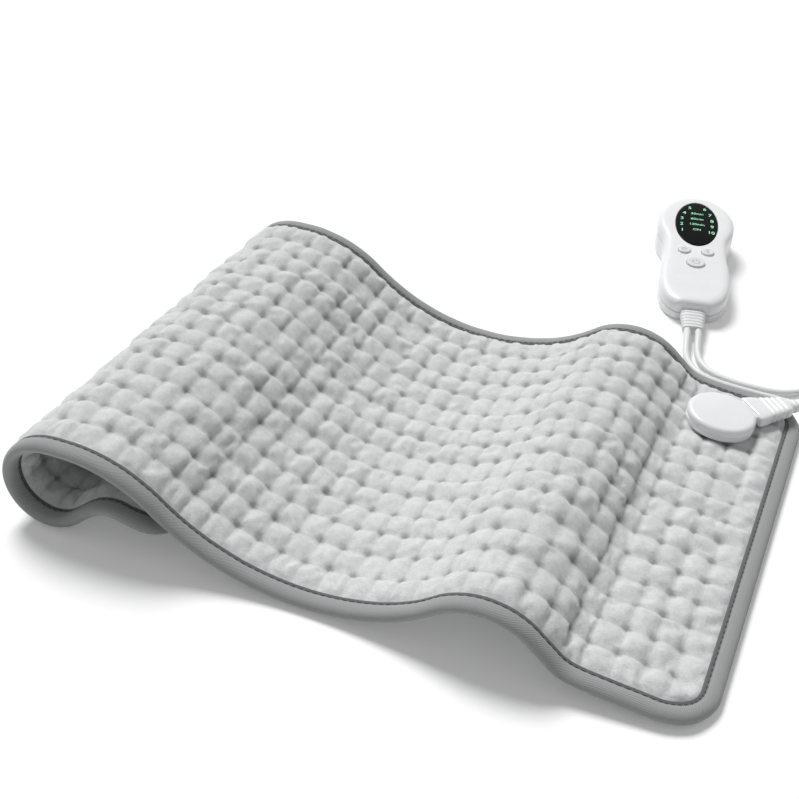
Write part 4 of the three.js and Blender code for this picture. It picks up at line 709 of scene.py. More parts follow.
def soft_box(half_width, half_height, power=4.0, count=40, groove=0.0):
    """A rounded rectangle of points, with an optional groove along its middle."""
    points = []
    for k in range(count):
        angle = 2 * math.pi * (k + 0.5) / count
        c, s = math.cos(angle), math.sin(angle)
        y = half_width * math.copysign(abs(c) ** (2 / power), c)
        z = half_height * math.copysign(abs(s) ** (2 / power), s)
        if k in (0, count // 2 - 1, count // 2, count - 1):
            y -= math.copysign(groove, c)
        points.append((y, z))
    return points


def bar(sections, place, power=4.0, groove=0.0):
    """A bar along X through sections given as position, half width and half height."""
    rings = [[Vector((x, y, z)) for y, z in soft_box(w, h, power, groove=groove)] for x, w, h in sections]
    return lofted(rings, place)


def ribbed(x0, x1, start, end, ribs, groove):
    """Sections of a tapered sleeve with rounded grip ribs."""
    sections = []
    steps = ribs * 10
    for k in range(steps + 1):
        t = k / steps
        turn = (t * ribs) % 1
        depth = groove * smooth(0.5, 0.62, turn) * (1 - smooth(0.88, 1.0, turn))
        w = start[0] + (end[0] - start[0]) * t - depth
        h = start[1] + (end[1] - start[1]) * t - depth
        sections.append((x0 + (x1 - x0) * t, w, h))
    return sections


def turned_body(profile, steps, place):
    """A body of revolution from a profile of radius and height, starting and ending on the axis."""
    bm = bmesh.new()
    verts = [bm.verts.new((r, 0, z)) for r, z in profile]
    edges = [bm.edges.new(pair) for pair in zip(verts, verts[1:])]
    bmesh.ops.spin(bm, geom=verts + edges, cent=(0, 0, 0), axis=(0, 0, 1), angle=2 * math.pi, steps=steps,
                   use_merge=True)
    bmesh.ops.remove_doubles(bm, verts=bm.verts, dist=1e-4)
    bmesh.ops.recalc_face_normals(bm, faces=bm.faces)
    bmesh.ops.transform(bm, matrix=place, verts=bm.verts)
    return bm


def rounded_block(low, high, radius, place, segments=3):
    bm = bmesh.new()
    size = Vector(high) - Vector(low)
    bmesh.ops.create_cube(bm, size=1, matrix=Matrix.Translation((Vector(low) + Vector(high)) / 2)
                          @ Matrix.Diagonal((*size, 1)))
    bmesh.ops.bevel(bm, geom=bm.edges[:], offset=radius, affect="EDGES", segments=segments, profile=0.5,
                    material=-1)
    bmesh.ops.transform(bm, matrix=place, verts=bm.verts)
    return bm


def evaluated_mesh(piece):
    """A mesh of the piece as its modifiers leave it."""
    bpy.context.view_layer.update()
    return bpy.data.meshes.new_from_object(piece.evaluated_get(bpy.context.evaluated_depsgraph_get()))


def carve(piece, *cutters):
    """Cuts other bodies out of a piece and removes them."""
    for cutter in cutters:
        tool = new_piece("cutter", cutter, WHITE, body=None)
        modifier = piece.modifiers.new("carve", "BOOLEAN")
        modifier.operation = "DIFFERENCE"
        modifier.solver = "EXACT"
        modifier.object = tool
        result = evaluated_mesh(piece)
        piece.modifiers.clear()
        piece.data = result
        bpy.data.objects.remove(tool)


def auto_smooth(piece, degrees=35):
    """Sharp edges above the angle, smooth faces below it."""
    bm = bmesh.new()
    bm.from_mesh(piece.data)
    limit = math.radians(degrees)
    for edge in bm.edges:
        edge.smooth = len(edge.link_faces) == 2 and edge.calc_face_angle(0) < limit
    for face in bm.faces:
        face.smooth = True
    bm.to_mesh(piece.data)
    bm.free()


# Leads

def straight_out(place, reach, way, height, side=0.0):
    return [place @ Vector((reach + way * more, side, height)) for more in (0, 2 * CORD_DIAMETER)]


def coil_points(x, y, inner, turns, start, sense):
    count = round(turns * COIL_STEPS)
    points = []
    for k in range(count + 1):
        done = k / count * turns
        from_middle = done - turns / 2
        radius = inner + COIL_PITCH * abs(from_middle)
        angle = math.radians(start) + sense * done * 2 * math.pi
        climb = clamp(from_middle * 2 + 0.5)
        points.append(Vector((x + radius * math.cos(angle), y + radius * math.sin(angle),
                              COIL_REST + climb * COIL_PITCH)))

    def straight(end, done, way):
        angle = math.radians(start) + sense * done * 2 * math.pi
        return end + Vector((-math.sin(angle), math.cos(angle), 0)) * sense * way * CORD_DIAMETER

    return [straight(points[0], 0, -1), *points, straight(points[-1], turns, 1)]


def floor_route(points):
    return [ON_FLOOR @ Vector(point) for point in points]


def cord_piece(name, points):
    data = bpy.data.curves.new(name, "CURVE")
    data.dimensions = "3D"
    data.bevel_depth = CORD_DIAMETER / 2 * MM
    data.bevel_resolution = 4
    data.resolution_u = 6
    data.use_fill_caps = True
    line = data.splines.new("BEZIER")
    line.bezier_points.add(len(points) - 1)
    for bend, point in zip(line.bezier_points, points):
        bend.co = point
        bend.handle_left_type = bend.handle_right_type = "AUTO"
    data.materials.append(SHEATH)
    return new_object(name, data)


def smooth_path(points, steps):
    """Points along a centripetal curve through the given ones."""
    padded = [2 * points[0] - points[1], *points, 2 * points[-1] - points[-2]]
    path = []
    for a, b, c, d in zip(padded, padded[1:], padded[2:], padded[3:]):
        t0 = 0.0
        t1 = t0 + (b - a).length ** 0.5
        t2 = t1 + (c - b).length ** 0.5
        t3 = t2 + (d - c).length ** 0.5
        for k in range(steps):
            t = t1 + (t2 - t1) * k / steps
            p = a.lerp(b, (t - t0) / (t1 - t0))
            q = b.lerp(c, (t - t1) / (t2 - t1))
            r = c.lerp(d, (t - t2) / (t3 - t2))
            near = p.lerp(q, (t - t0) / (t2 - t0))
            far = q.lerp(r, (t - t1) / (t3 - t1))
            path.append(near.lerp(far, (t - t1) / (t2 - t1)))
    return [*path, points[-1]]


def tube(path, radius, sides=16):
    """A round tube along a path of points in metres."""
    rings = []
    side = None
    for k, point in enumerate(path):
        along = (path[min(k + 1, len(path) - 1)] - path[max(k - 1, 0)]).normalized()
        side = (along.orthogonal() if side is None else side - along * side.dot(along)).normalized()
        up = along.cross(side)
        rings.append([point + radius * (side * math.cos(a) + up * math.sin(a))
                      for a in (2 * math.pi * j / sides for j in range(sides))])
    return lofted(rings, Matrix.Identity(4))


pad_coil = coil_points(**PAD_COIL)
mains_coil = coil_points(**MAINS_COIL)
LOW = FLOOR_REST
PAD_ROUTE = [
    (-56, 196, 4.6), (-53.5, 186, 3), (-48.5, 176, LOW), (-40, 167.5, LOW), (-28, 162.5, LOW),
    (-14, 160.6, LOW), (0, 160, LOW), (14, 159.6, LOW), (28, 159, LOW), (40, 158.6, LOW + 0.2),
    (52, 158.2, LOW + 0.8),
]
PAD_END_ROUTE = [(41.6, 172, 9.6), (39.4, 164.5, 11.2)]
MAINS_ROUTE = [
    (-48.6, 197.6, 4.6), (-46, 188.5, 3), (-40.5, 179, LOW), (-31.5, 171.5, LOW), (-20, 168, LOW),
    (-8, 166.8, LOW), (4, 167, LOW), (15, 170, LOW), (24, 177, LOW), (29.4, 187, LOW), (31, 199, LOW),
    (31, 212, LOW), (31, 225, LOW), (31, 238, LOW), (31, 251, LOW + 0.4),
]
MAINS_END_ROUTE = [(32.4, 291, 11.6), (36.4, 295.4, 15), (42, 296.2, 18.2)]
WALL_PLUG_LEVEL = COIL_REST + COIL_PITCH + CORD_DIAMETER / 2 + GAP + WALL_PLUG_HEIGHT / 2
IN_WALL_PLUG = ON_FLOOR @ Matrix.Translation((*WALL_PLUG, WALL_PLUG_LEVEL))


def path_length(path):
    return sum((b - a).length for a, b in zip(path, path[1:]))


def make_leads():
    pad_path = [*straight_out(IN_CASE, -RELIEF_LENGTH - GAP, -1, REAR_AT_TAIL, CORD_SPACING / 2)]
    pad_path += floor_route([*PAD_ROUTE, pad_coil[0] + Vector((-CORD_DIAMETER, 0, 0)), *pad_coil])
    pad_lead = cord_piece("pad_cord", pad_path)
    end_path = [ON_FLOOR @ pad_coil[-1]]
    end_path += floor_route([pad_coil[-1] + Vector((-0.2, -CORD_DIAMETER, 0)), *PAD_END_ROUTE])
    end_path += reversed(straight_out(IN_PLUG, PLUG_END + PLUG_RELIEF_LENGTH + GAP, 1, PLUG_LEVEL))
    end_path = smooth_path(end_path, 10)
    plug_cord = new_piece("plug_cord", tube(end_path, CORD_DIAMETER / 2 * MM), SHEATH, body=None)
    mains_path = [*straight_out(IN_CASE, -RELIEF_LENGTH - GAP, -1, REAR_AT_TAIL, -CORD_SPACING / 2)]
    mains_path += floor_route([*MAINS_ROUTE, mains_coil[0] + Vector((0, -CORD_DIAMETER, 0)), *mains_coil])
    mains_path += floor_route([mains_coil[-1] + Vector((0, CORD_DIAMETER, 0.2)), *MAINS_END_ROUTE])
    mains_path += [IN_WALL_PLUG @ Vector((reach, 0, 0)) for reach in (-CORD_DIAMETER, -GAP)]
    mains_lead = cord_piece("mains_cord", mains_path)
    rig.replaces(pad_lead, "pad_lead", "pad_lead_coil")
    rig.replaces(plug_cord, "pad_lead_end")
    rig.replaces(mains_lead, "mains_lead", "mains_lead_coil", "mains_lead_end")
    for lead in (pad_lead, mains_lead):
        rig.ride(lead, "root")
    for lead in (pad_lead, plug_cord, mains_lead):
        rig.slot(lead, "cord")
    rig.blend(plug_cord, "plug", "root", start=end_path[-1], end=end_path[0])
    return {"pad": (pad_lead, pad_path), "end": (plug_cord, end_path), "mains": (mains_lead, mains_path)}


leads = make_leads()


# Quilted pad

def inset_at(s, y):
    """Distance in from the pad's rounded outline."""
    a = abs(s - PAD_LENGTH / 2) - (PAD_LENGTH / 2 - CORNER_RADIUS)
    b = abs(y) - (PAD_WIDTH / 2 - CORNER_RADIUS)
    return CORNER_RADIUS - math.hypot(max(a, 0), max(b, 0)) - min(max(a, b), 0)


def half_width(s, inset):
    radius = CORNER_RADIUS - inset
    short = max(radius - (min(s, PAD_LENGTH - s) - inset), 0)
    return PAD_WIDTH / 2 - inset - radius + math.sqrt(max(radius * radius - short * short, 0))


def under_fitting(s, y, top):
    """How far the plush is pressed flat: under the socket and plug on top, under the plate below."""
    a, b = SOCKET_FROM_END - s, y - (PAD_WIDTH / 2 - SOCKET_FROM_BACK)
    disc = 1 - smooth(SOCKET_DIAMETER / 2, SOCKET_DIAMETER / 2 + DISC_PRESS_EDGE, math.hypot(a, b))
    if not top:
        return disc
    turn = math.radians(PLUG_TURN)
    ahead = a * math.cos(turn) + b * math.sin(turn)
    beside = abs(b * math.cos(turn) - a * math.sin(turn))
    strip = 1 - smooth(PLUG_WIDTH / 2, PLUG_WIDTH / 2 + PLUG_PRESS_EDGE, beside)
    return max(disc, strip * smooth(0, DISC_PRESS_EDGE, ahead))


SHEET_STEPS = (QUILT_ROWS * QUILT_STEPS, CELLS_ACROSS * QUILT_STEPS)


def flat_sheet():
    """The cover laid flat, with its knots and its seam held."""
    bm = bmesh.new()
    bmesh.ops.create_grid(bm, x_segments=SHEET_STEPS[0], y_segments=SHEET_STEPS[1], size=1)
    scale = SHEET_SCALE
    for vert in bm.verts:
        row, column = (vert.co.x + 1) / 2 * QUILT_ROWS, (vert.co.y + 1) / 2 * CELLS_ACROSS
        puff = abs(math.sin(math.pi * row) * math.sin(math.pi * column))
        ruck = noise.noise((row * FIRST_RUCK_SCALE, column * FIRST_RUCK_SCALE, FIRST_RUCK_SEED))
        rise = FIRST_RUCK * ruck + FIRST_PUFF * puff
        vert.co = (row * QUILT_PITCH * scale, column * COLUMN_PITCH * scale, rise * scale)
    sheet = new_piece("flat_sheet", bm, PLUSH, body=None)
    held = sheet.vertex_groups.new(name="held")
    places = {}
    for vert in sheet.data.vertices:
        i = round(vert.co.x / scale / QUILT_PITCH * QUILT_STEPS)
        j = round(vert.co.y / scale / COLUMN_PITCH * QUILT_STEPS)
        places[vert.index] = (i, j)
        seam = i in (0, SHEET_STEPS[0]) or j in (0, SHEET_STEPS[1])
        if seam or (i % QUILT_STEPS == 0 and j % QUILT_STEPS == 0):
            held.add([vert.index], 1.0, "REPLACE")
    return sheet, places


def settled_quilt():
    """Puffs the flat sheet up between its knots as cloth, and returns each grid point's move."""
    sheet, places = flat_sheet()
    cloth = sheet.modifiers.new("filling", "CLOTH")
    for key, value in FILLING.items():
        setattr(cloth.settings, key, value)
    cloth.settings.effector_weights.gravity = 0
    cloth.collision_settings.use_collision = False
    cloth.point_cache.frame_start, cloth.point_cache.frame_end = 1, QUILT_FRAMES
    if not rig.quick():
        for step in range(1, QUILT_FRAMES + 1):
            bpy.context.scene.frame_set(step)
    puffed = sheet.evaluated_get(bpy.context.evaluated_depsgraph_get()).to_mesh()
    moves = {}
    for before, after in zip(sheet.data.vertices, puffed.vertices):
        moves[places[before.index]] = (after.co - Vector((before.co.x, before.co.y, 0))) / SHEET_SCALE
    bpy.data.objects.remove(sheet)
    bpy.context.scene.frame_set(1)
    return moves


QUILT_MOVES = settled_quilt()


def puff_at(row, column):
    """The settled cover's move at a place counted in rows and columns."""
    a = clamp(row, 0, QUILT_ROWS) * QUILT_STEPS
    b = clamp(column, 0, CELLS_ACROSS) * QUILT_STEPS
    i, j = min(int(a), SHEET_STEPS[0] - 1), min(int(b), SHEET_STEPS[1] - 1)
    near = QUILT_MOVES[i, j].lerp(QUILT_MOVES[i + 1, j], a - i)
    far = QUILT_MOVES[i, j + 1].lerp(QUILT_MOVES[i + 1, j + 1], a - i)
    return near.lerp(far, b - j)


def quilt(s, y, top):
    """Move along and across the pad, height over its middle, and how much painted shade darkens the plush there, at
    its knots and creases.
    """
    shape = QUILT_TOP if top else QUILT_UNDER
    inset = inset_at(s, y)
    mirror = 1 if top else -1
    row = (s - SEAM_INSET) / QUILT_PITCH
    column = (mirror * y + PAD_WIDTH / 2 - SEAM_INSET) / COLUMN_PITCH
    move = puff_at(row, column)
    across = (row - round(row)) * QUILT_PITCH
    along = (column - round(column)) * COLUMN_PITCH
    row_line, column_line = 0 < round(row) < QUILT_ROWS, 0 < round(column) < CELLS_ACROSS
    sewn = row_line and column_line
    knot = math.exp(-(across ** 2 + along ** 2) / (2 * KNOT_RADIUS ** 2)) if sewn else 0
    crease_a = math.exp(-(across / CREASE_RADIUS) ** 2) if row_line else 0
    crease_b = math.exp(-(along / CREASE_RADIUS) ** 2) if column_line else 0
    crease = 1 - (1 - crease_a) * (1 - crease_b)
    deep = clamp(move.z / FULL_PUFF)
    height = shape["knot"] + shape["puff"] * max(move.z, LEAST_MOVE)
    height -= CREASE_DEPTH * deep * crease + KNOT_DEPTH * knot
    height += BROAD_RUCK * noise.noise((s / BROAD_RUCK_SIZE, y / BROAD_RUCK_SIZE, shape["seed"]))
    height += FINE_RUCK * noise.noise((s / FINE_RUCK_SIZE, y / FINE_RUCK_SIZE, FINE_RUCK_SEED))
    height = max(height, shape["least"])
    pressed = under_fitting(s, y, top)
    height += (min(height, shape["flat"]) - height) * pressed
    edge = MARGIN_HEIGHT * smooth(COVER_INSET, COVER_INSET + MARGIN_RISE, inset)
    inner = smooth(SEAM_INSET - SEAM_HALF_WIDTH, SEAM_INSET + SEAM_HALF_WIDTH, inset)
    height = edge + (height - edge) * inner
    # Painted shade, strongest at the knots and weaker along the creases
    shade_depth = clamp(knot + CREASE_SHADE * crease * inner)
    return move.x * inner, mirror * move.y * inner, height, shade_depth


def quilt_lines(length, cells, steps, margin_steps):
    """Places from one edge of the cover to the other, with a line along every row of knots."""
    margin = SEAM_INSET - COVER_INSET
    pitch = (length - 2 * SEAM_INSET) / cells
    first = [COVER_INSET + margin * k / margin_steps for k in range(margin_steps)]
    middle = [SEAM_INSET + pitch * k / steps for k in range(cells * steps + 1)]
    return first + middle + [length - place for place in reversed(first)]


def make_pad():
    bm = bmesh.new()
    painted_quilt_shade = bm.verts.layers.float.new("painted_quilt_shade")
    along_lines = quilt_lines(PAD_LENGTH, QUILT_ROWS, ROW_LINES, ROW_MARGIN_LINES)
    across_lines = quilt_lines(PAD_WIDTH, CELLS_ACROSS, COLUMN_LINES, COLUMN_MARGIN_LINES)
    long_steps, wide_steps = len(along_lines) - 1, len(across_lines) - 1

    def spot(u, v):
        s = along_lines[round(u * long_steps)]
        turn = round(2 * v * wide_steps)
        top = turn <= wide_steps
        line = across_lines[turn if top else 2 * wide_steps - turn]
        share = (line - PAD_WIDTH / 2) / (PAD_WIDTH / 2 - COVER_INSET)
        return s, share * half_width(s, COVER_INSET), top

    def place(u, v):
        s, y, top = spot(u, v)
        rim = round(u * long_steps) in (0, long_steps) or round(2 * v * wide_steps) % wide_steps == 0
        along, across, height, _ = (0, 0, 0, 0) if rim else quilt(s, y, top)
        point = pad_point(s + along, y + across, height if top else -height)
        point.z = max(point.z, FLOOR_FILM * MM)
        return point

    size = (PAD_LENGTH * MM, 2 * PAD_WIDTH * MM)
    spots = laid_grid(bm, long_steps, 2 * wide_steps, place, size)
    # Painted shade at the knots and creases, kept on each point for the plush finish
    for vert, (u, v) in spots.items():
        if vert.is_valid:
            vert[painted_quilt_shade] = quilt(*spot(u, v))[3]
    bmesh.ops.recalc_face_normals(bm, faces=bm.faces)
    piece = new_piece("quilted_pad", bm, PLUSH, slot="plush")
    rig.replaces(piece, "top_cover", "bottom_cover")
    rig.padded(piece, fill=0.7)


def outline_path(step):
    """Round the pad's edge: corner or side point, outward direction in plan and reach from it."""
    long_half, wide_half = PAD_LENGTH / 2 - CORNER_RADIUS, PAD_WIDTH / 2 - CORNER_RADIUS
    path = []
    corners = [(1, -1, -90), (1, 1, 0), (-1, 1, 90), (-1, -1, 180)]
    for k, (a, b, angle) in enumerate(corners):
        s, y = PAD_LENGTH / 2 + a * long_half, b * wide_half
        bends = round(CORNER_RADIUS * math.pi / 2 / step)
        for j in range(bends):
            turn = math.radians(angle + 90 * j / bends)
            path.append((s, y, math.cos(turn), math.sin(turn)))
        c, d, _ = corners[(k + 1) % 4]
        next_s, next_y = PAD_LENGTH / 2 + c * long_half, d * wide_half
        steps = round(math.hypot(next_s - s, next_y - y) / step)
        turn = math.radians(angle + 90)
        for j in range(steps):
            t = j / steps
            path.append((s + (next_s - s) * t, y + (next_y - y) * t, math.cos(turn), math.sin(turn)))
    return path


def make_binding():
    bm = bmesh.new()
    path = outline_path(BINDING_STEP)
    section = BINDING_SECTION + [(d, -n) for d, n in reversed(BINDING_SECTION[:-1])] + BINDING_INSIDE
    lengths = [0.0]
    for (d0, n0), (d1, n1) in zip(section, section[1:] + section[:1]):
        lengths.append(lengths[-1] + math.hypot(d1 - d0, n1 - n0))

    def place(u, v):
        s, y, out_s, out_y = round_ring(path, u)
        d, n = round_ring(section, v)
        reach = CORNER_RADIUS - d
        at_s, at_y = s + out_s * reach, y + out_y * reach
        swell = 1 + BINDING_SWELL * noise.noise((at_s / BINDING_SWELL_SIZE, at_y / BINDING_SWELL_SIZE, 1.0))
        point = pad_point(at_s, at_y, n * swell)
        point.z = max(point.z, FLOOR_FILM * MM)
        return point

    round_pad = 2 * (PAD_LENGTH + PAD_WIDTH) - 8 * CORNER_RADIUS + 2 * math.pi * CORNER_RADIUS
    painted_seam_shade = bm.verts.layers.float.new("painted_seam_shade")
    spots = laid_grid(bm, len(path), len(section), place, (round_pad * MM, lengths[-1] * MM))
    for vert, (_, v) in spots.items():
        # Painted shade, full on the inner lip where the tape tucks against the plush
        if vert.is_valid:
            vert[painted_seam_shade] = smooth(SEAM_SHADE_FROM, SEAM_SHADE_TO, round_ring(section, v)[0])
    bmesh.ops.recalc_face_normals(bm, faces=bm.faces)
    piece = new_piece("binding_tape", bm, TAPE, slot="binding")
    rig.replaces(piece, "edge_binding")


def make_stitches():
    bm = bmesh.new()
    path = outline_path(STITCH_STEP)
    reach = CORNER_RADIUS - STITCH_INSET
    for level in (STITCH_LEVEL, -STITCH_LEVEL):
        ends = [pad_point(s + out_s * reach, y + out_y * reach, level) for s, y, out_s, out_y in path]
        for start, end in zip(ends, ends[1:] + ends[:1]):
            if min(start.z, end.z) < STITCH_OFF_FLOOR * MM:
                continue
            run = end - start
            along = run.to_track_quat("X", "Z").to_matrix().to_4x4()
            size = Matrix.Diagonal((run.length * STITCH_REACH, STITCH_WIDTH * MM, STITCH_HEIGHT * MM, 1))
            bmesh.ops.create_icosphere(bm, subdivisions=1, radius=1,
                                       matrix=Matrix.Translation((start + end) / 2) @ along @ size)
    new_piece("seam_stitches", bm, THREAD_AND_SEAM_SHADE, slot="binding")


make_pad()
make_binding()
make_stitches()


# Socket disc and plug

def make_socket():
    r, base, top = SOCKET_DIAMETER / 2, SOCKET_UNDERSIDE, SOCKET_TOP
    profile = [(0, base), (r - 0.6, base), (r - 0.15, base + 0.25), (r, base + 0.8), (r, base + 3.2),
               (r - 0.3, base + 3.35), (r - 0.3, base + 3.65), (r, base + 3.8)]
    for k in range(9):
        angle = math.radians(90 * k / 8)
        rise = (SHOULDER_RISE - SHOULDER_DROP) * math.sin(angle)
        profile.append((r - SHOULDER_ROUND * (1 - math.cos(angle)), top - SHOULDER_RISE + rise))
    profile += [(r - 6, top - 0.45), (r - 10, top - 0.2), (r - 15, top - 0.05), (0, top)]
    piece = white_piece("socket_disc", turned_body(profile, 96, IN_PLUG))
    wide, tall = NOSE_WIDTH / 2 + GAP, NOSE_HEIGHT / 2 + GAP
    mouth = rounded_block((r - MOUTH_DEPTH, -wide, PLUG_LEVEL - tall), (r + 6, wide, PLUG_LEVEL + tall), 0.6,
                          IN_PLUG)
    carve(piece, mouth)
    auto_smooth(piece)
    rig.replaces(piece, "socket_housing")


def make_plug():
    w, h, waist = PLUG_WIDTH / 2, PLUG_HEIGHT / 2, PLUG_WAIST / 2
    a, b = PLUG_START, PLUG_END
    at_level = IN_PLUG @ Matrix.Translation((0, 0, PLUG_LEVEL))
    sections = [(a, w - 1.6, h - 1.2), (a + 0.3, w - 0.9, h - 0.6), (a + 0.9, w - 0.3, h - 0.2),
                (a + 1.8, w, h), (a + 7.5, w - 0.9, h)]
    sections += ribbed(a + 8.5, b - 5, (w - 1.5, h), (waist + 0.8, h), 4, 0.8)
    sections += [(b - 3.5, waist + 0.2, h - 0.05), (b - 1.6, waist - 0.1, h - 0.3),
                 (b - 0.5, waist - 0.6, h - 0.8), (b, waist - 1.4, h - 1.5)]
    body = white_piece("plug_body", bar(sections, at_level, 4.5, 0.25), body="plug")
    wide, tall = NOSE_WIDTH / 2, NOSE_HEIGHT / 2
    front = SOCKET_DIAMETER / 2 - MOUTH_DEPTH + GAP
    block = rounded_block((front, -wide, PLUG_LEVEL - tall), (a + 1, wide, PLUG_LEVEL + tall), 0.7, IN_PLUG)
    nose = white_piece("plug_nose", block, body="plug")
    bore_end = front + BORE_DEPTH
    bore = [(0, front - 1), (BORE_RADIUS, front - 1), (BORE_RADIUS, bore_end), (0, bore_end)]
    bores = []
    for side in (-1, 1):
        turn = Matrix.Translation((0, side * PIN_SPACING / 2, PLUG_LEVEL)) @ turned("Y", 90)
        bores.append(turned_body(bore, 24, IN_PLUG @ turn))
    carve(nose, *bores)
    auto_smooth(nose)
    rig.replaces(body, "plug_upper_shell", "plug_lower_shell")
    sections = ribbed(b - 0.4, b + PLUG_RELIEF_LENGTH, (waist - 2.0, h - 0.3), SLEEVE_END, 5, 0.75)
    relief = white_piece("plug_sleeve", bar(sections, at_level, 2.6), WHITE_SOFT, body="plug")
    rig.replaces(relief, "plug_strain_relief")
    return [body, nose, relief]


make_socket()
plug_pieces = make_plug()


# Controller

def bezier(a, b, c, d, steps):
    points = []
    for k in range(steps):
        t = k / steps
        points.append((1 - t) ** 3 * a + 3 * t * (1 - t) ** 2 * b + 3 * t * t * (1 - t) * c + t ** 3 * d)
    return points


def case_outline(inset, steps=14):
    """The case's plan, from its tail along one side to the top and back along the other."""
    head, waist, hip, tail = (width / 2 - inset for width in (HEAD_WIDTH, WAIST_WIDTH, HIP_WIDTH, TAIL_WIDTH))
    top = CASE_LENGTH - inset
    head_at, waist_at, hip_at = (CASE_LENGTH - v for v in (HEAD_FROM_TOP, WAIST_FROM_TOP, HIP_FROM_TOP))
    swell = tail + (hip - tail) * 0.75
    crown_at = head_at + QUARTER_ARC * (top - head_at)

    def ease(x0, y0, x1, y1):
        middle = (x0 + x1) / 2
        return [(x0, y0), (middle, y0), (middle, y1), (x1, y1)]

    side = [
        [(inset, -tail), (inset + hip_at * 0.15, -swell), (hip_at * 0.55, -hip), (hip_at, -hip)],
        ease(hip_at, -hip, waist_at, -waist),
        ease(waist_at, -waist, head_at, -head),
        [(head_at, -head), (crown_at, -head), (top, -QUARTER_ARC * head), (top, 0)],
    ]
    other = [[(x, -y) for x, y in reversed(span)] for span in reversed(side)]
    points = [point for span in side + other for point in bezier(*map(Vector, span), steps)]
    return points + [Vector((inset, tail * (1 - 2 * k / 8))) for k in range(8)]


def case_stack(levels, place):
    rings = [[Vector((p.x, p.y, z)) for p in case_outline(inset)] for z, inset in levels]
    return lofted(rings, place)


def oval_rings(length, width, levels, count=96):
    rings = []
    for z, inset in levels:
        rings.append([Vector(((length / 2 - inset) * math.cos(a), (width / 2 - inset) * math.sin(a), z))
                      for a in (2 * math.pi * k / count for k in range(count))])
    return rings


WINDOW_AT = CASE_LENGTH - WINDOW_FROM_TOP
IN_WINDOW = IN_FACE @ Matrix.Translation((WINDOW_AT, 0, 0))
BUTTONS = {
    "left_button": (CASE_LENGTH - SMALL_BUTTON_FROM_TOP, SMALL_BUTTON_SPREAD / 2, SMALL_BUTTON),
    "right_button": (CASE_LENGTH - SMALL_BUTTON_FROM_TOP, -SMALL_BUTTON_SPREAD / 2, SMALL_BUTTON),
    "power_button": (CASE_LENGTH - POWER_FROM_TOP, 0, POWER_BUTTON),
}
# A clock, a thermometer and a power sign: a ring as place ahead, radius, width, start and sweep, then its
# bars as place ahead, place beside, length and width
BUTTON_MARKS = {
    "left_button": ((0, 1.8, 0.4, 0, 360), [(0.55, 0, 1.3, 0.35), (0, -0.45, 0.35, 1.0)]),
    "right_button": ((-1.2, 0.75, 0.4, 35, 290),
                     [(0.75, 0.5, 2.6, 0.35), (0.75, -0.5, 2.6, 0.35), (2.05, 0, 0.35, 1.3)]),
    "power_button": ((0, 2.5, 0.5, 35, 290), [(2.2, 0, 2.6, 0.5)]),
}


def make_shells():
    levels = [(GAP / 2, 0.25), (0.4, 0.02), (1.0, 0), (4.6, 0), (6.2, 0.15), (7.4, 0.55), (8.3, 1.2),
              (9.0, 2.0), (9.5, 3.0), (9.8, 4.2), (9.95, 5.6), (FRONT_DEPTH, 7.2)]
    front = white_piece("front_casing", case_stack(levels, IN_FACE))
    levels = [(8.6, 0), (FRONT_DEPTH - 0.3, 0), (FRONT_DEPTH + 0.6, -0.9)]
    rebate = lofted(oval_rings(WINDOW_LENGTH, WINDOW_WIDTH, levels), IN_WINDOW)
    holes = []
    for x, y, size in BUTTONS.values():
        r = size / 2 + GAP
        hole = [(0, 4), (r, 4), (r, FRONT_DEPTH - 0.4), (r + 0.9, FRONT_DEPTH + 0.5), (0, FRONT_DEPTH + 0.5)]
        holes.append(turned_body(hole, 48, IN_FACE @ Matrix.Translation((x, y, 0))))
    carve(front, rebate, *holes)
    auto_smooth(front, 30)
    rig.replaces(front, "controller_front_shell")

    tall = REAR_AT_TAIL + 2 * FRONT_DEPTH
    levels = [(0, 3.0), (0.12, 2.3), (0.45, 1.4), (1.0, 0.7), (1.8, 0.2), (2.8, 0), (tall, 0)]
    bm = case_stack(levels, IN_CASE)
    normal = (IN_FACE.to_3x3() @ Vector((0, 0, 1))).normalized()
    bmesh.ops.bisect_plane(bm, geom=bm.verts[:] + bm.edges[:] + bm.faces[:], dist=1e-7, clear_outer=True,
                           plane_co=IN_FACE @ Vector((0, 0, -GAP / 2)), plane_no=normal)
    close_ends(bm)
    rear = white_piece("rear_casing", bm)
    well = [(0, -2), (SCREW_WELL_RADIUS, -2), (SCREW_WELL_RADIUS, SCREW_WELL_DEPTH), (0, SCREW_WELL_DEPTH)]
    seats = []
    for name in ("case_screw_1", "case_screw_2", "case_screw_3", "case_screw_4"):
        low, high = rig.box(name)
        middle = Vector(((low.x + high.x) / 2, (low.y + high.y) / 2, 0))
        seats.append(turned_body(well, 32, Matrix.Translation(middle) @ Matrix.Scale(MM, 4)))
    carve(rear, *seats)
    auto_smooth(rear, 30)
    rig.replaces(rear, "controller_rear_shell")


def window_height(x, y):
    """Height of the window's gentle dome above the parting plane."""
    reach = (2 * x / WINDOW_LENGTH) ** 2 + (2 * y / WINDOW_WIDTH) ** 2
    return FRONT_DEPTH + WINDOW_RIM_RISE + WINDOW_DOME * (1 - clamp(reach))


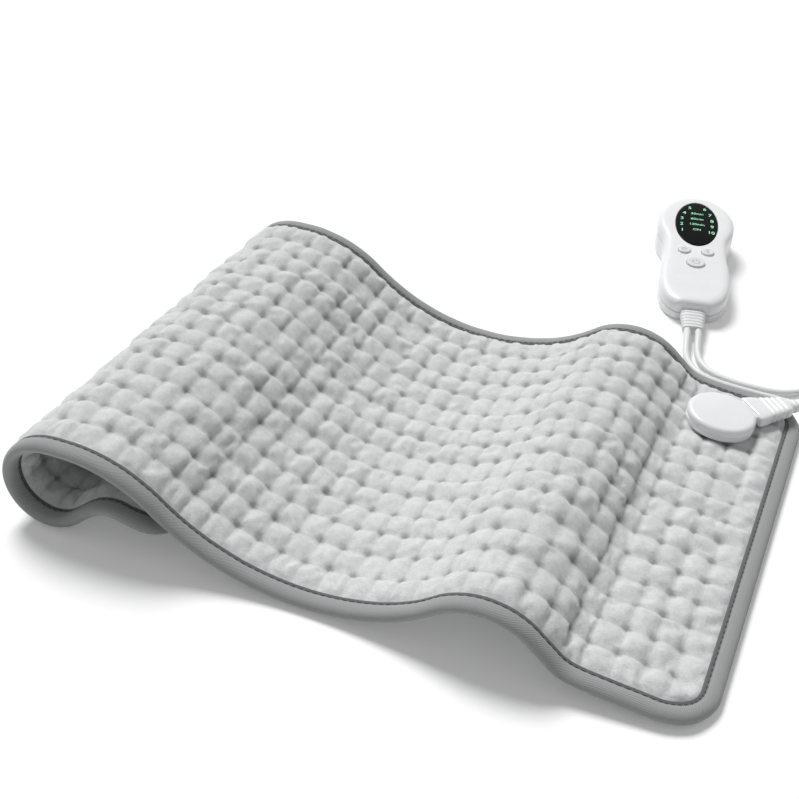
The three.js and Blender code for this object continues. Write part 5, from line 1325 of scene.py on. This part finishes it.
def make_window():
    levels = [(8.7, 0.5), (8.7, 0.35), (FRONT_DEPTH - 0.1, 0.3), (FRONT_DEPTH + 0.05, 0.4),
              (FRONT_DEPTH + 0.12, 0.6)]
    rings = oval_rings(WINDOW_LENGTH, WINDOW_WIDTH, levels)
    count = len(rings[0])
    for share in (0.93, 0.85, 0.7, 0.5, 0.3, 0.1):
        ring = []
        for k in range(count):
            angle = 2 * math.pi * k / count
            x, y = share * WINDOW_LENGTH / 2 * math.cos(angle), share * WINDOW_WIDTH / 2 * math.sin(angle)
            ring.append(Vector((x, y, window_height(x, y))))
        rings.append(ring)
    piece = new_piece("smoked_window", lofted(rings, IN_WINDOW), SMOKED, slot="dark_window")
    auto_smooth(piece, 40)
    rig.replaces(piece, "display_window")


def flat_text(words, size):
    """Text as a flat mesh, centred on the origin."""
    data = bpy.data.curves.new("words", "FONT")
    data.body = words
    data.size = size
    data.align_x, data.align_y = "CENTER", "CENTER"
    data.resolution_u = 3
    holder = new_object("words", data)
    mesh = evaluated_mesh(holder)
    bpy.data.objects.remove(holder)
    return mesh


def make_digits():
    """Lit level numbers down both sides of the window and minutes between them."""
    labels = [(str(6 + k), right, up, DIGIT_SIZE) for k, (right, up) in enumerate(DIGIT_PLACES)]
    labels += [(str(5 - k), -right, up, DIGIT_SIZE) for k, (right, up) in enumerate(DIGIT_PLACES)]
    labels += [(words, 0, up, MINUTES_SIZE) for words, up in MINUTES_LINES]
    bm = bmesh.new()
    for words, right, up, size in labels:
        mesh = flat_text(words, size)
        known = set(bm.verts)
        bm.from_mesh(mesh)
        bpy.data.meshes.remove(mesh)
        for vert in set(bm.verts) - known:
            x = up * WINDOW_LENGTH / 2 + vert.co.y
            y = -right * WINDOW_WIDTH / 2 - vert.co.x
            vert.co = (x, y, window_height(x, y) + DIGIT_LIFT)
    bmesh.ops.triangulate(bm, faces=bm.faces)
    bmesh.ops.solidify(bm, geom=bm.faces[:], thickness=DIGIT_THICKNESS)
    bmesh.ops.transform(bm, matrix=IN_WINDOW, verts=bm.verts)
    bmesh.ops.recalc_face_normals(bm, faces=bm.faces)
    new_piece("lit_digits", bm, LIT, slot="dark_window", shade_smooth=False)


def ring_mark(bm, x, y, z, radius, width, start, sweep):
    """A flat arc of print, as a thin raised band."""
    first = set(bm.verts)
    inner, outer = radius - width / 2, radius + width / 2
    corners = [(inner, 0), (outer, 0), (outer, PRINT_HEIGHT), (inner, PRINT_HEIGHT)]
    verts = [bm.verts.new((r, 0, h)) for r, h in corners]
    face = bm.faces.new(verts)
    edges = list(face.edges)
    bmesh.ops.rotate(bm, verts=verts, cent=(0, 0, 0), matrix=Matrix.Rotation(math.radians(start), 3, "Z"))
    turn = {"cent": (0, 0, 0), "axis": (0, 0, 1), "angle": math.radians(sweep)}
    if sweep < 360:
        bmesh.ops.spin(bm, geom=[face, *edges, *verts], steps=max(8, round(sweep / 12)), **turn)
    else:
        bmesh.ops.spin(bm, geom=verts + edges, steps=36, use_merge=True, **turn)
        bmesh.ops.delete(bm, geom=[face], context="FACES_ONLY")
    bmesh.ops.translate(bm, vec=(x, y, z), verts=[vert for vert in bm.verts if vert not in first])


def bar_mark(bm, x, y, z, long, wide):
    size = Matrix.Diagonal((long, wide, PRINT_HEIGHT, 1))
    bmesh.ops.create_cube(bm, size=1, matrix=Matrix.Translation((x, y, z + PRINT_HEIGHT / 2)) @ size)


def make_buttons():
    top = BUTTON_TOP
    for name, (x, y, size) in BUTTONS.items():
        r = size / 2
        profile = [(0, 6.9), (r + 1, 6.9), (r + 1, 7.85), (r, 7.9), (r, top - 0.8), (r - 0.08, top - 0.45),
                   (r - 0.3, top - 0.18), (r - 0.65, top - 0.03), (r - 1.1, top), (r - 1.8, top - 0.1),
                   (r * 0.4, top - 0.25), (0, top - 0.28)]
        cap = turned_body(profile, 64, IN_FACE @ Matrix.Translation((x, y, 0)))
        piece = new_piece(f"{name}_cap", cap, BUTTON, body=name, slot="button_plastic")
        auto_smooth(piece, 45)
        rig.replaces(piece, name)
        bm = bmesh.new()
        ring, bars = BUTTON_MARKS[name]
        ring_mark(bm, x + ring[0], y, top - PRINT_SUNK, *ring[1:])
        for ahead, side, long, wide in bars:
            bar_mark(bm, x + ahead, y + side, top - PRINT_SUNK, long, wide)
        bmesh.ops.transform(bm, matrix=IN_FACE, verts=bm.verts)
        bmesh.ops.recalc_face_normals(bm, faces=bm.faces)
        new_piece(f"{name}_mark", bm, PRINT, body=name, slot="grey_plastic", shade_smooth=False)


def make_case_relief():
    w, h = RELIEF_WIDTH / 2, RELIEF_HEIGHT / 2
    sections = ribbed(-RELIEF_LENGTH, -0.1, (w - 2.0, h - 0.9), (w, h), RELIEF_RIBS, 1.0)
    sections += [(0.2, w - 1, h - 1), (3.5, w - 1, h - 1)]
    at_level = IN_CASE @ Matrix.Translation((0, 0, REAR_AT_TAIL))
    piece = white_piece("controller_sleeve", bar(sections, at_level, 3.4), WHITE_SOFT)
    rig.replaces(piece, "controller_strain_relief")


make_shells()
make_window()
make_digits()
make_buttons()
make_case_relief()


# Wall plug and ties

def make_wall_plug():
    w, h = WALL_PLUG_WIDTH / 2, WALL_PLUG_HEIGHT / 2
    sections = ribbed(0, WALL_RELIEF_LENGTH + 1, SLEEVE_END, (5, 4.6), 5, 0.8)
    sleeve = white_piece("wall_plug_sleeve", bar(sections, IN_WALL_PLUG, 2.6), WHITE_SOFT)
    a = WALL_RELIEF_LENGTH + GAP
    b = a + WALL_PLUG_LENGTH
    sections = [(a, w * 0.48, h * 0.52), (a + 0.5, w * 0.54, h * 0.6), (a + 2, w * 0.62, h * 0.70),
                (a + 4, w * 0.70, h * 0.80), (a + 8, w * 0.745, h * 0.825), (a + 12, w * 0.78, h * 0.84),
                (a + 16, w * 0.88, h * 0.92), (b - 6, w, h), (b - 1.2, w, h), (b - 0.5, w - 0.2, h - 0.2),
                (b - 0.1, w - 0.6, h - 0.6), (b, w - 1.2, h - 1.2)]
    body = white_piece("wall_plug", bar(sections, IN_WALL_PLUG, 4.0))
    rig.replaces(sleeve, "wall_plug_strain_relief")
    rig.replaces(body, "wall_plug_body")
    return [sleeve, body]


def make_tie(name, coil, angle):
    """A soft strap with rounded corners round all turns of a coil, and the tab that closes it."""
    r, half = CORD_DIAMETER / 2, TIE_THICKNESS / 2
    near = coil["inner"] - r - 2 * GAP - half
    far = coil["inner"] + COIL_PITCH * coil["turns"] / 2 + r + 2 * GAP + half
    low, high = half, COIL_REST + COIL_PITCH + r + GAP + half
    bend = TIE_BEND
    loop = []
    corners = [(far - bend, high - bend, 0), (near + bend, high - bend, 90), (near + bend, low + bend, 180),
               (far - bend, low + bend, 270)]
    for x, z, start in corners:
        for k in range(9):
            turn = math.radians(start + 90 * k / 8)
            loop.append((Vector((x, 0, z)), Vector((math.cos(turn), 0, math.sin(turn)))))
    section = soft_box(TIE_WIDTH / 2, half, count=24)
    place = ON_FLOOR @ Matrix.Translation((coil["x"], coil["y"], 0)) @ turned("Z", angle)
    bm = bmesh.new()

    def spot(u, v):
        centre, out = round_ring(loop, u)
        across, thick = round_ring(section, v)
        return place @ (centre + out * (bend + thick) + Vector((0, across, 0)))

    laid_grid(bm, len(loop), len(section), spot)
    bmesh.ops.recalc_face_normals(bm, faces=bm.faces)
    strap = new_piece(f"{name}_strap", bm, STRAP, slot="black_plastic")
    side = TIE_WIDTH / 2 - TAB_INSET
    top_corner = (far + half + TAB_THICKNESS, side, high - bend + TAB_OVER_BEND)
    tab = rounded_block((far + half, -side, low + bend), top_corner, TAB_ROUND, place)
    flap = new_piece(f"{name}_tab", tab, STRAP, slot="black_plastic")
    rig.replaces(strap, name)
    return [strap, flap]


wall_pieces = make_wall_plug()
tie_pieces = {name: make_tie(name, *wound) for name, wound in TIE_ANGLES.items()}

node_finish = {
    "white_plastic": WHITE, "plush": PLUSH, "binding": TAPE, "felt": FELT, "cord": SHEATH,
    "dark_window": SMOKED, "black_plastic": BLACK, "grey_plastic": GREY, "board": BOARD, "steel": STEEL,
    "brass": BRASS, "button_plastic": BUTTON,
}
on_node = frame["nodes"]
for entry in frame["record"]["subparts"]:
    solid = on_node[entry["node"]]
    solid.data.materials.clear()
    solid.data.materials.append(node_finish[entry["material_slot"]])

pad_lead, pad_path = leads["pad"]
plug_cord, end_path = leads["end"]
mains_lead, mains_path = leads["mains"]
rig.cord(pad_lead, exit=pad_path[0], length=path_length(smooth_path(pad_path, 6)),
        diameter=CORD_DIAMETER * MM, far_end="connector", stiffness="medium", lay="coiled",
        with_pieces=tie_pieces["pad_lead_tie"])
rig.cord(plug_cord, exit=end_path[0], length=path_length(end_path), diameter=CORD_DIAMETER * MM,
        far_end="connector", stiffness="medium", lay="loose", path=end_path,
        with_pieces=[*plug_pieces, on_node["plug_contact_1"], on_node["plug_contact_2"]])
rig.cord(mains_lead, exit=mains_path[0], length=path_length(smooth_path(mains_path, 6)),
        diameter=CORD_DIAMETER * MM, far_end="plug", stiffness="medium", lay="coiled",
        with_pieces=[*wall_pieces, on_node["wall_prong_1"], on_node["wall_prong_2"],
                     *tie_pieces["mains_lead_tie"]])


# Stage: pale floor, soft light from behind on the left, white surroundings

def shown_rays(tree):
    """One for rays from the camera, mirrored or passed through ones too, and nought for lighting."""
    seen = node(tree, "ShaderNodeLightPath").outputs
    shown = math_node(tree, "MAXIMUM", seen["Is Camera Ray"], seen["Is Glossy Ray"])
    return math_node(tree, "MAXIMUM", shown, seen["Is Transmission Ray"])


def stage_finish():
    material = bpy.data.materials.new("pale_floor")
    material.use_nodes = True
    tree = material.node_tree
    tree.nodes.remove(tree.nodes["Principled BSDF"])
    matt = node(tree, "ShaderNodeBsdfDiffuse", Color=(0.9, 0.9, 0.9, 1))
    lift = node(tree, "ShaderNodeEmission", Color=(1, 1, 1, 1))
    tree.links.new(math_node(tree, "MULTIPLY", shown_rays(tree), FLOOR_LIFT), lift.inputs["Strength"])
    both = node(tree, "ShaderNodeAddShader")
    tree.links.new(matt.outputs["BSDF"], both.inputs[0])
    tree.links.new(lift.outputs["Emission"], both.inputs[1])
    tree.links.new(both.outputs["Shader"], tree.nodes["Material Output"].inputs["Surface"])
    return material


def make_stage():
    bm = bmesh.new()
    bmesh.ops.create_grid(bm, x_segments=2, y_segments=2, size=6)
    floor = new_piece("floor", bm, stage_finish(), body=None)
    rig.stage(floor)
    world = bpy.data.worlds.new("surroundings")
    bpy.context.scene.world = world
    world.use_nodes = True
    tree = world.node_tree
    sky = tree.nodes["Background"]
    sky.inputs["Color"].default_value = (1, 1, 1, 1)
    seen_only = math_node(tree, "MULTIPLY", shown_rays(tree), 1 - AMBIENT)
    tree.links.new(math_node(tree, "ADD", seen_only, AMBIENT), sky.inputs["Strength"])


def make_sun(name, place, strength, spread):
    data = bpy.data.lights.new(name, "SUN")
    data.energy = strength
    data.angle = math.radians(spread)
    lamp = new_object(name, data)
    lamp.location = place
    lamp.rotation_mode = "QUATERNION"
    lamp.rotation_quaternion = (-Vector(place)).to_track_quat("-Z", "Y")


make_stage()
for lamp_name, lamp_settings in LAMPS.items():
    make_sun(lamp_name, *lamp_settings)
bpy.context.scene.view_settings.view_transform = "Standard"

dressed_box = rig.bounds()
with open("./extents.json", "w") as size_file:
    json.dump({"cad": [list(corner) for corner in cad_box], "visual": [list(corner) for corner in dressed_box]}, size_file)
